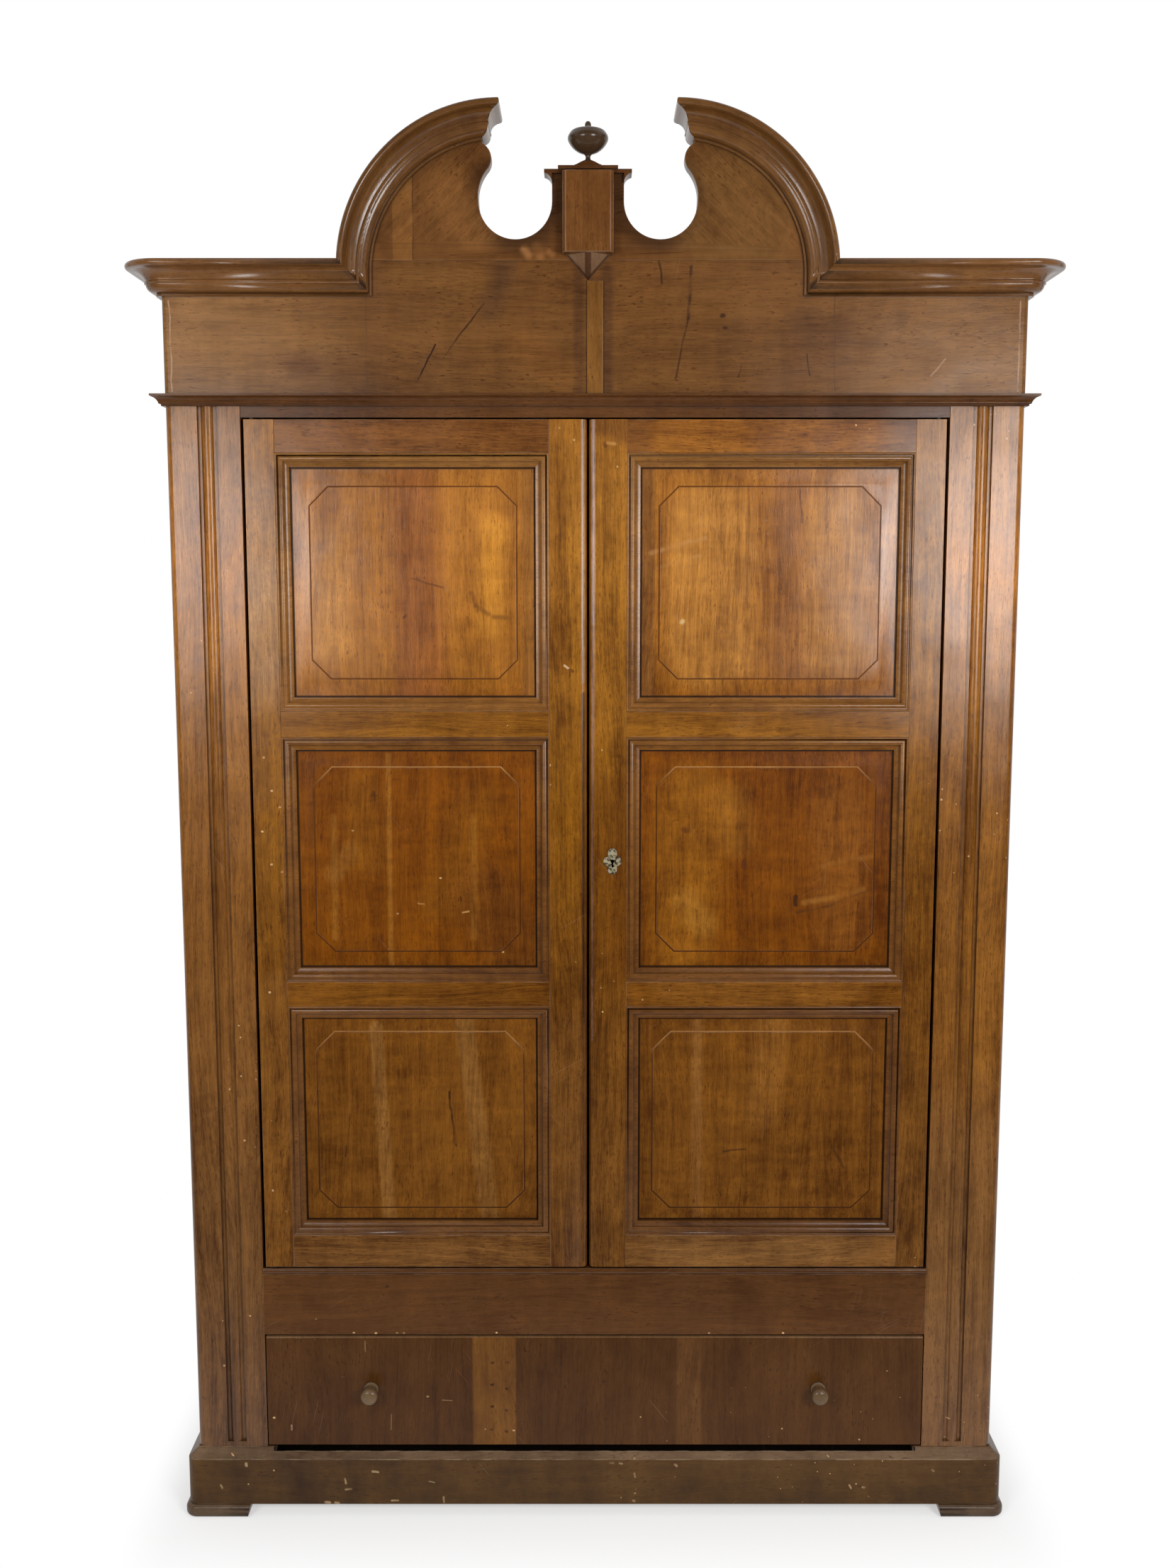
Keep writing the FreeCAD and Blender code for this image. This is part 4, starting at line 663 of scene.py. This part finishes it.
FINISHES = {
    "post": wood("walnut_post", POST_STOPS, contrast=1.2, burl=0.5, specks=0.30, scratches=0.35,
                 patches=POST_PATCHES),
    "door": wood("walnut_door", DOOR_STOPS, contrast=1.15, cloud=1.2, burl=0.7, shine=0.28,
                 dirt_and_shade=0.45, specks=0.16, scratches=0.2, patches=DOOR_PATCHES, marks=DOOR_MARKS),
    "rail": wood("walnut_rail", RAIL_STOPS, contrast=1.15, burl=0.4, shine=0.26, dirt_and_shade=0.45,
                 specks=0.08, scratches=0.2, patches=RAIL_PATCHES),
    "panel": wood("walnut_panel", PANEL_STOPS, contrast=0.9, ripple=0.4, burl=0.3, gloss=0.23,
                  patches=PANEL_PATCHES, marks=PANEL_MARKS, scratches=0.25),
    "panel_low": wood("walnut_panel_low", PANEL_STOPS, contrast=0.8, ripple=0.6, burl=0.6, gloss=0.4,
                      shine=0.08, patches=PANEL_PATCHES, marks=PANEL_MARKS, scratches=0.25),
    "moulding": wood("walnut_moulding", MOULDING_STOPS, contrast=0.7, dirt_and_shade=0.35, wear_and_glint=0.6, shine=0.36),
    "head": wood("walnut_head", ((1.9, (86, 51, 24)), (2.1, (88, 53, 26))), contrast=0.7, shine=0.22),
    "frieze": wood("walnut_frieze", ((2.0, (104, 66, 31)), (2.24, (101, 63, 30))), contrast=0.8, ripple=0.3,
                   cloud=0.6, shine=0.24, patches=FRIEZE_PATCHES, marks=FRIEZE_MARKS, scratches=0.2),
    "tympanum": wood("walnut_tympanum", ((2.24, (101, 63, 31)), (2.5, (96, 60, 30))), contrast=0.6,
                     burl=0.8, shine=0.16, patches=TYMPANUM_PATCHES, marks=TYMPANUM_MARKS, wear_and_glint=0.3),
    # The cornice is lighter at its top: painted light
    "cornice": wood("walnut_cornice", ((2.18, (106, 68, 34)), (2.24, (115, 76, 44))), contrast=0.7,
                    shine=0.4, wear_and_glint=0.7),
    "arch": wood("walnut_arch", ((2.18, (106, 68, 33)), (2.5, (108, 70, 34))), contrast=0.7,
                 gloss=0.22, shine=0.5, wear_and_glint=0.7),
    "block": wood("walnut_block", ((2.2, (108, 66, 29)), (2.4, (106, 64, 28))), contrast=0.6, burl=0.5),
    # The pendant's pale colour is a painted sheen on its facets
    "pendant": wood("walnut_pendant_painted_light", ((2.2, (122, 90, 66)), (2.3, (126, 94, 70))), contrast=0.4,
                    patches=PENDANT_SHADE_PATCHES),
    "lath": wood("walnut_lath", ((2.0, (124, 80, 31)), (2.25, (118, 76, 30))), contrast=0.6),
    "urn": wood("walnut_urn", ((2.3, (70, 50, 34)), (2.5, (62, 44, 30))), contrast=0.5, gloss=0.2,
                shine=0.4),
    "sill": wood("walnut_sill", ((0.34, (90, 54, 24)), (0.48, (88, 53, 23))), contrast=0.6, cloud=0.8,
                 marks=SILL_MARKS, specks=0.06, scratches=0.3, wear_and_glint=0.8, shine=0.24),
    "drawer": wood("walnut_drawer", ((0.12, (79, 47, 20)), (0.35, (80, 48, 20))), contrast=0.6, cloud=0.9,
                   patches=DRAWER_PATCHES, marks=DRAWER_MARKS, specks=0.12, scratches=0.3,
                   wear_and_glint=0.9, shine=0.16),
    "plinth": wood("walnut_plinth", ((0.0, (72, 47, 20)), (0.13, (80, 52, 22))), contrast=0.5, cloud=1.3,
                   worn_and_glint=(140, 118, 92), wear_and_glint=0.8, patches=PLINTH_PATCHES, marks=PLINTH_MARKS,
                   specks=0.35, scratches=0.7, gloss=0.34, shine=0.2),
    # The pads are lighter at the top than at the foot: painted light
    "pad": wood("walnut_pad", ((0.0, (78, 60, 44)), (0.024, (98, 76, 58))), contrast=0.5, cloud=1.3,
                worn_and_glint=(160, 132, 112), wear_and_glint=0.9, specks=0.2, gloss=0.34, shine=0.3),
    "knob": wood("walnut_knob", ((0.2, (108, 84, 60)), (0.3, (108, 84, 60))), contrast=0.4, wear_and_glint=0.3),
    "side": wood("walnut_side", ((0.12, (96, 60, 27)), (2.05, (116, 73, 30))), contrast=1.1, burl=0.3,
                 specks=0.08, scratches=0.25, gloss=0.38, shine=0.25),
    "pine": wood("pine_inside", ((0.1, (160, 116, 72)), (2.2, (168, 124, 78))), contrast=0.6, cloud=0.7,
                 gloss=0.60, shine=0.2, worn_and_glint=(176, 146, 108)),
    "line": wood("walnut_line", LINE_STOPS, contrast=0.5, dirt_and_shade=0.2, shine=0.1),
    # Painted shade: the dark band laid in the quirk beside each panel
    "quirk": wood("quirk_shade", ((0.5, (44, 26, 14)), (2.0, (66, 40, 20))), contrast=0.4, shine=0.1),
    "iron": metal("iron_fittings", (62, 58, 54), (74, 50, 36), 0.45, 0.8),
    "brass": metal("brass_plate", (170, 158, 126), (58, 48, 34), 0.28, 0.35, 150.0),
}

# Node, finish, way of the grain, arris
LOOKS = (
    ("foot_pads", "pad", "x", None),
    ("plinth_front", "plinth", "x", ARRIS),
    ("plinth_returns", "plinth", "y", ARRIS),
    ("pilaster_left", "post", "z", ARRIS),
    ("pilaster_right", "post", "z", ARRIS),
    ("side_stiles", "side", "z", ARRIS),
    ("side_rails", "side", "y", ARRIS),
    ("side_panels", "side", "z", None),
    ("back_planks", "pine", "z", ARRIS),
    ("compartment_floor", "pine", "x", ARRIS),
    ("ceiling_boards", "pine", "x", ARRIS),
    ("shelf_battens", "pine", "y", ARRIS),
    ("hat_shelf", "pine", "x", ARRIS),
    ("rod_sockets", "pine", "z", ARRIS),
    ("hanging_rod", "pine", "x", None),
    ("sill_rail", "sill", "x", CRISP_ARRIS),
    ("head_rail", "head", "x", None),
    ("pivot_sockets", "iron", "x", None),
    ("drawer_runners", "pine", "y", ARRIS),
    ("drawer_front", "drawer", "z", ARRIS),
    ("drawer_knobs", "knob", "y", None),
    ("drawer_sides", "pine", "y", ARRIS),
    ("drawer_back", "pine", "x", ARRIS),
    ("drawer_bottom", "pine", "x", ARRIS),
    ("lock_case", "iron", "x", None),
    ("lock_keeper", "iron", "x", None),
    ("lock_bolt", "iron", "x", None),
    ("escutcheon", "brass", "x", None),
    ("top_bolt", "iron", "x", None),
    ("bottom_bolt", "iron", "x", None),
    ("bolt_guides", "iron", "x", None),
    ("frieze_mouldings", "head", "long", None),
    ("frieze_board", "frieze", "x", ARRIS),
    ("frieze_box", "pine", "long", ARRIS),
    ("frieze_lath", "lath", "z", ARRIS),
    ("cornice_front_left", "cornice", "x", None),
    ("cornice_front_right", "cornice", "x", None),
    ("cornice_sides", "cornice", "y", None),
    ("pediment_board", "tympanum", "fan", ARRIS),
    ("arch_moulding_left", "arch", "round", None),
    ("arch_moulding_right", "arch", "round", None),
    ("arch_returns", "arch", "y", None),
    ("post_block", "block", "z", ARRIS),
    ("post_pendant", "pendant", "z", CRISP_ARRIS),
    ("post_cap", "head", "x", CRISP_ARRIS),
    ("post_plate", "head", "x", CRISP_ARRIS),
    ("finial", "urn", "z", None),
    ("pediment_battens", "pine", "z", ARRIS),
) + tuple(
    (side + "_door_" + node, finish, grain, arris)
    for side in ("left", "right")
    for node, finish, grain, arris in (
        ("hinge_stile", "door", "z", ARRIS),
        ("meeting_stile", "door", "z", ARRIS),
        ("rails", "rail", "x", ARRIS),
        ("panels", "panel", "z", CRISP_ARRIS),
        ("mouldings", "moulding", "long", None),
        ("pivots", "iron", "z", None),
    )
)


# Pieces

def box_of(group):
    """The lowest and highest corner of the box round some corners, to the millimetre."""
    return [round(end(corner.co[axis] for corner in group), 3) for end in (min, max) for axis in range(3)]


def islands(mesh):
    """The separate solids of a mesh, as lists of its corners, in the order of their places."""
    seen = set()
    groups = []
    for first in mesh.verts:
        if first in seen:
            continue
        seen.add(first)
        group = [first]
        for corner in group:
            for edge in corner.link_edges:
                other = edge.other_vert(corner)
                if other not in seen:
                    seen.add(other)
                    group.append(other)
        groups.append(group)
    return sorted(groups, key=box_of)


def solid_mesh(node):
    """A node's mesh with its flat faces whole, to work on."""
    mesh = bmesh.new()
    mesh.from_mesh(frame["nodes"][node].data)
    bmesh.ops.remove_doubles(mesh, verts=mesh.verts, dist=MERGE)
    bmesh.ops.dissolve_limit(mesh, angle_limit=FLAT, verts=mesh.verts, edges=mesh.edges)
    return mesh


def add_piece(name, data, node):
    """Adds an object for a mesh, on the body of a node."""
    piece = bpy.data.objects.new(name, data)
    bpy.context.scene.collection.objects.link(piece)
    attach(piece, body_of[node])
    return piece


def grain_place(way, group):
    """A function that turns a corner's place into one along, across and through the grain."""
    low = [min(corner.co[axis] for corner in group) for axis in range(3)]
    high = [max(corner.co[axis] for corner in group) for axis in range(3)]
    sizes = [high[axis] - low[axis] for axis in range(3)]
    start = Vector([random.uniform(-GRAIN_REACH, GRAIN_REACH) for _ in range(3)])
    if way == "round":
        side = -1 if low[0] + high[0] < 0 else 1
        radius = sizes[0]
        centre = Vector((high[0] if side < 0 else low[0], 0, high[2] - radius))

        def along_arc(at):
            across = math.hypot(at.x - centre.x, at.z - centre.z)
            turn = math.atan2(at.z - centre.z, abs(at.x - centre.x))
            return start + Vector((turn * radius, across, at.y))

        return along_arc
    if way == "fan":
        def along_fan(at):
            return start + Vector((at.z - abs(at.x), at.z + abs(at.x), at.y)) * math.sqrt(0.5)

        return along_fan
    first = sizes.index(max(sizes)) if way == "long" else "xyz".index(way)
    second, third = [axis for axis in range(3) if axis != first]

    def along_board(at):
        return start + Vector((at[first], at[second], at[third]))

    return along_board


def ease_edge(mesh, side):
    """Wears the front of a meeting stile back towards its meeting edge, in a shallow curve."""
    meeting = side * max(side * corner.co.x for corner in mesh.verts)
    front = min(corner.co.y for corner in mesh.verts)
    for step in range(1, EASE_STEPS + 1):
        at = Vector((meeting - side * EASE_WIDTH * step / EASE_STEPS, front, 0))
        parts = mesh.verts[:] + mesh.edges[:] + mesh.faces[:]
        bmesh.ops.bisect_plane(mesh, geom=parts, dist=MERGE, plane_co=at, plane_no=(1, 0, 0))
    for corner in mesh.verts:
        share = 1 - side * (meeting - corner.co.x) / EASE_WIDTH
        if share > 0 and corner.co.y < front + EASE_REACH:
            corner.co.y += EASE_DEPTH * share ** EASE_CURVE
        if side * (meeting - corner.co.x) < MERGE:
            corner.co.x += side * EDGE_GROWTH


def fill_groove(group):
    """Makes the groove beside the frame shallow in one bar of a door moulding."""
    spans = [max(corner.co[axis] for corner in group) - min(corner.co[axis] for corner in group)
             for axis in range(3)]
    along = 0 if spans[0] > spans[2] else 2
    across = 2 - along
    frame_side = min(group, key=lambda corner: corner.co[along]).co[across]
    front = min(corner.co.y for corner in group)
    back = max(corner.co.y for corner in group)
    for corner in group:
        share = abs(corner.co[across] - frame_side)
        if 0 < share < GROOVE_WIDTH and front + GROOVE_DEPTH < corner.co.y < back - MERGE:
            corner.co.y = front + GROOVE_DEPTH


def veneer(mesh):
    """Gives the outer faces of a piece's two sides its second finish."""
    for sign in (-1, 1):
        outside = max(sign * corner.co.x for corner in mesh.verts)
        for face in mesh.faces:
            inside = outside - sign * face.calc_center_median().x
            if sign * face.normal.x > SIDEWAYS and inside < VENEER_DEPTH:
                face.material_index = 1


def soften(mesh, arris):
    """Rounds the arrises, and marks the faces that come of it as edges."""
    edge_layer = mesh.faces.layers.float.new("edge")
    if not arris:
        return
    folds = [edge for edge in mesh.edges if edge.is_manifold and edge.calc_face_angle() > FOLD]
    made = bmesh.ops.bevel(mesh, geom=folds, offset=arris, offset_type="OFFSET", segments=2,
                           profile=0.5, affect="EDGES", clamp_overlap=True)
    for face in made["faces"]:
        face[edge_layer] = 1.0


def lay_grain(mesh, way, dull):
    """Gives each solid its own run of grain and tone, and the low ones the dull finish if there is one."""
    grain_layer = mesh.verts.layers.float_vector.new("grain")
    tone_layer = mesh.verts.layers.float.new("tone")
    for group in islands(mesh):
        place = grain_place(way, group)
        tone = random.uniform(-1, 1)
        for corner in group:
            corner[grain_layer] = place(corner.co)
            corner[tone_layer] = tone
        if dull and max(corner.co.z for corner in group) < DULL_BELOW:
            for face in {face for corner in group for face in corner.link_faces}:
                face.material_index = 1


def dress(node, finish, way, arris):
    """Adds a piece with the solid's shape, softened arrises and its own run of grain."""
    mesh = solid_mesh(node)
    if node in EASED:
        ease_edge(mesh, EASED[node])
    if node in GROOVED:
        for group in islands(mesh):
            fill_groove(group)
    soften(mesh, arris)
    if node in VENEERED:
        veneer(mesh)
    dull = FINISHES.get(finish + "_low")
    lay_grain(mesh, way, dull)
    data = bpy.data.meshes.new(node + "_piece")
    mesh.to_mesh(data)
    mesh.free()
    data.polygons.foreach_set("use_smooth", [True] * len(data.polygons))
    data.set_sharp_from_angle(angle=FOLD)
    data.materials.append(FINISHES[finish])
    second = FINISHES[VENEERED[node]] if node in VENEERED else dull
    if second:
        data.materials.append(second)
    piece = add_piece(node + "_piece", data, node)
    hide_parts(node)
    even = piece.modifiers.new("even_light", "WEIGHTED_NORMAL")
    even.keep_sharp = True


def field_outlines(node):
    """The corners of each panel's raised field, in order, seen from the front."""
    mesh = solid_mesh(node)
    face_y = min(corner.co.y for corner in mesh.verts)
    fields = [face for face in mesh.faces if max(corner.co.y for corner in face.verts) < face_y + MERGE]
    outlines = [[corner.co.copy() for corner in face.verts] for face in fields]
    mesh.free()
    return outlines


def bevel_feet(node):
    """The corners of the rectangle at the foot of each panel's bevelled margin, in order."""
    mesh = bmesh.new()
    mesh.from_mesh(frame["nodes"][node].data)
    bmesh.ops.remove_doubles(mesh, verts=mesh.verts, dist=MERGE)
    outlines = []
    for group in islands(mesh):
        faces = {face for corner in group for face in corner.link_faces}
        sloped = [face for face in faces if LEAST_SLOPED < -face.normal.y < MOST_SLOPED]
        places = [corner.co for face in sloped for corner in face.verts]
        y = max(at.y for at in places)
        xs = [at.x for at in places]
        zs = [at.z for at in places]
        corners = ((min(xs), min(zs)), (max(xs), min(zs)), (max(xs), max(zs)), (min(xs), max(zs)))
        outlines.append([Vector((x, y, z)) for x, z in corners])
    mesh.free()
    return outlines


def outline_band(outline, inner, outer, y):
    """The inner and the outer ring of a flat band round an outline, at two distances outside it."""
    centre = sum(outline, Vector()) / len(outline)
    rings = []
    for reach in (inner, outer):
        ring = []
        for index, corner in enumerate(outline):
            before = (corner - outline[index - 1]).normalized()
            after = (outline[(index + 1) % len(outline)] - corner).normalized()
            way = (Vector((before.z, 0, -before.x)) + Vector((after.z, 0, -after.x))).normalized()
            if way.dot(corner - centre) < 0:
                way = -way
            miter = reach / max(abs(way.dot(Vector((after.z, 0, -after.x)))), SHARPEST_MITER)
            ring.append(Vector((corner.x, y, corner.z)) + way * miter)
        rings.append(ring)
    return rings


def string_line(node, name, outlines, inner, outer, depth, finish):
    """Adds a thin line round each outline on a door's panels."""
    mesh = bmesh.new()
    for outline in outlines:
        rings = outline_band(outline, inner, outer, outline[0].y + depth)
        corners = [[mesh.verts.new(at) for at in ring] for ring in rings]
        count = len(outline)
        for index in range(count):
            after = (index + 1) % count
            mesh.faces.new([corners[0][index], corners[0][after], corners[1][after], corners[1][index]])
    for face in mesh.faces:
        face.normal_update()
        if face.normal.y > 0:
            face.normal_flip()
    data = bpy.data.meshes.new(name)
    mesh.to_mesh(data)
    mesh.free()
    data.materials.append(finish)
    add_piece(name, data, node)


for look in LOOKS:
    dress(*look)
for side in ("left", "right"):
    panels = side + "_door_panels"
    string_line(panels, side + "_field_line", field_outlines(panels), *FIELD_LINE, FINISHES["line"])
    # A dark band of painted shade in the quirk round each panel's bevelled margin
    string_line(panels, side + "_quirk_shade_line", bevel_feet(panels), *QUIRK_SHADE_LINE, FINISHES["quirk"])


# Room, light and camera

def background_rays(n, room):
    """Masks for the rays that see the white room and for those in gloss that see its dark side.

    room is 1 where the room is white for rays in gloss too, and 0 on the side behind the camera.
    """
    path = n.node("LightPath").outputs
    gloss = path["Is Glossy Ray"]
    seen = n.math("MAXIMUM", path["Is Camera Ray"], n.math("MULTIPLY", gloss, room))
    seen = n.math("MAXIMUM", seen, path["Is Transmission Ray"])
    return seen, n.math("SUBTRACT", gloss, n.math("MULTIPLY", gloss, room))


def make_floor():
    """A pale floor that keeps the soft shadow and runs out into white."""
    mesh = bmesh.new()
    bmesh.ops.create_grid(mesh, x_segments=8, y_segments=8, size=FLOOR_SIZE)
    data = bpy.data.meshes.new("floor")
    mesh.to_mesh(data)
    mesh.free()
    floor = bpy.data.objects.new("floor", data)
    bpy.context.scene.collection.objects.link(floor)
    n = Nodes(bpy.data.materials.new("floor_white"))
    pale = n.node("BsdfDiffuse", {"Color": FLOOR_GREY}).outputs[0]
    lift = n.node("Emission", {"Color": WHITE, "Strength": FLOOR_GLOW}).outputs[0]
    near = n.node("AddShader", {0: pale, 1: lift}).outputs[0]
    white = n.node("Emission", {"Color": WHITE, "Strength": 1.0}).outputs[0]
    axes = n.node("SeparateXYZ", {0: n.place}).outputs
    past_side = n.math("MAXIMUM", n.math("SUBTRACT", n.math("ABSOLUTE", axes[0]), FLOOR_SIDE), 0.0)
    past_side = n.math("MULTIPLY", past_side, SIDE_FADE)
    past_front = n.math("MAXIMUM", n.math("SUBTRACT", n.math("ABSOLUTE", axes[1]), FLOOR_FRONT), 0.0)
    past = n.node("CombineXYZ", {0: past_side, 1: past_front}).outputs[0]
    past = n.node("VectorMath", {0: past}, operation="LENGTH").outputs[1]
    seen = n.node("MixShader", {0: n.spread(past, 0.0, FLOOR_FADE), 1: near, 2: white}).outputs[0]
    white_rays, dark_rays = background_rays(n, n.spread(axes[1], *FLOOR_TURN))
    whole = n.node("MixShader", {0: white_rays, 1: pale, 2: seen}).outputs[0]
    dim = n.node("BsdfDiffuse", {"Color": DIM_GREY}).outputs[0]
    n.end(n.node("MixShader", {0: dark_rays, 1: whole, 2: dim}).outputs[0])
    data.materials.append(n.owner)


def make_world():
    """White where it is seen, and a soft even light on the object. The side behind the camera is dark."""
    world = bpy.data.worlds.new("room")
    bpy.context.scene.world = world
    n = Nodes(world)
    ahead = n.node("SeparateXYZ", {0: n.coordinates["Generated"]}).outputs[1]
    white_rays, dark_rays = background_rays(n, n.spread(ahead, *ROOM_TURN))
    dim = n.math("MULTIPLY", n.math("SUBTRACT", 1.0, dark_rays), AMBIENT)
    strength = n.math("MAXIMUM", white_rays, dim)
    n.end(n.node("Background", {"Color": WHITE, "Strength": strength}).outputs[0], "OutputWorld")


def make_light(name, place, aim, wide, high, power):
    """Adds a soft box that looks at a point."""
    data = bpy.data.lights.new(name, "AREA")
    data.shape = "RECTANGLE"
    data.size = wide
    data.size_y = high
    data.energy = power
    light = bpy.data.objects.new(name, data)
    light.location = place
    light.rotation_euler = (Vector(aim) - Vector(place)).to_track_quat("-Z", "Y").to_euler()
    bpy.context.scene.collection.objects.link(light)


def make_camera():
    """The photograph's camera: 2.7 m in front, at 1.7 m, tilted down a little."""
    data = bpy.data.cameras.new("camera")
    data.sensor_fit = "VERTICAL"
    data.sensor_height = SENSOR_HEIGHT
    data.lens = LENS
    camera = bpy.data.objects.new("camera", data)
    camera.location = CAMERA_PLACE
    camera.rotation_euler = (CAMERA_TILT, 0.0, 0.0)
    bpy.context.scene.collection.objects.link(camera)
    bpy.context.scene.camera = camera


make_floor()
make_world()
for box in BOXES:
    make_light(*box)
make_camera()
bpy.context.scene.view_settings.view_transform = "Standard"
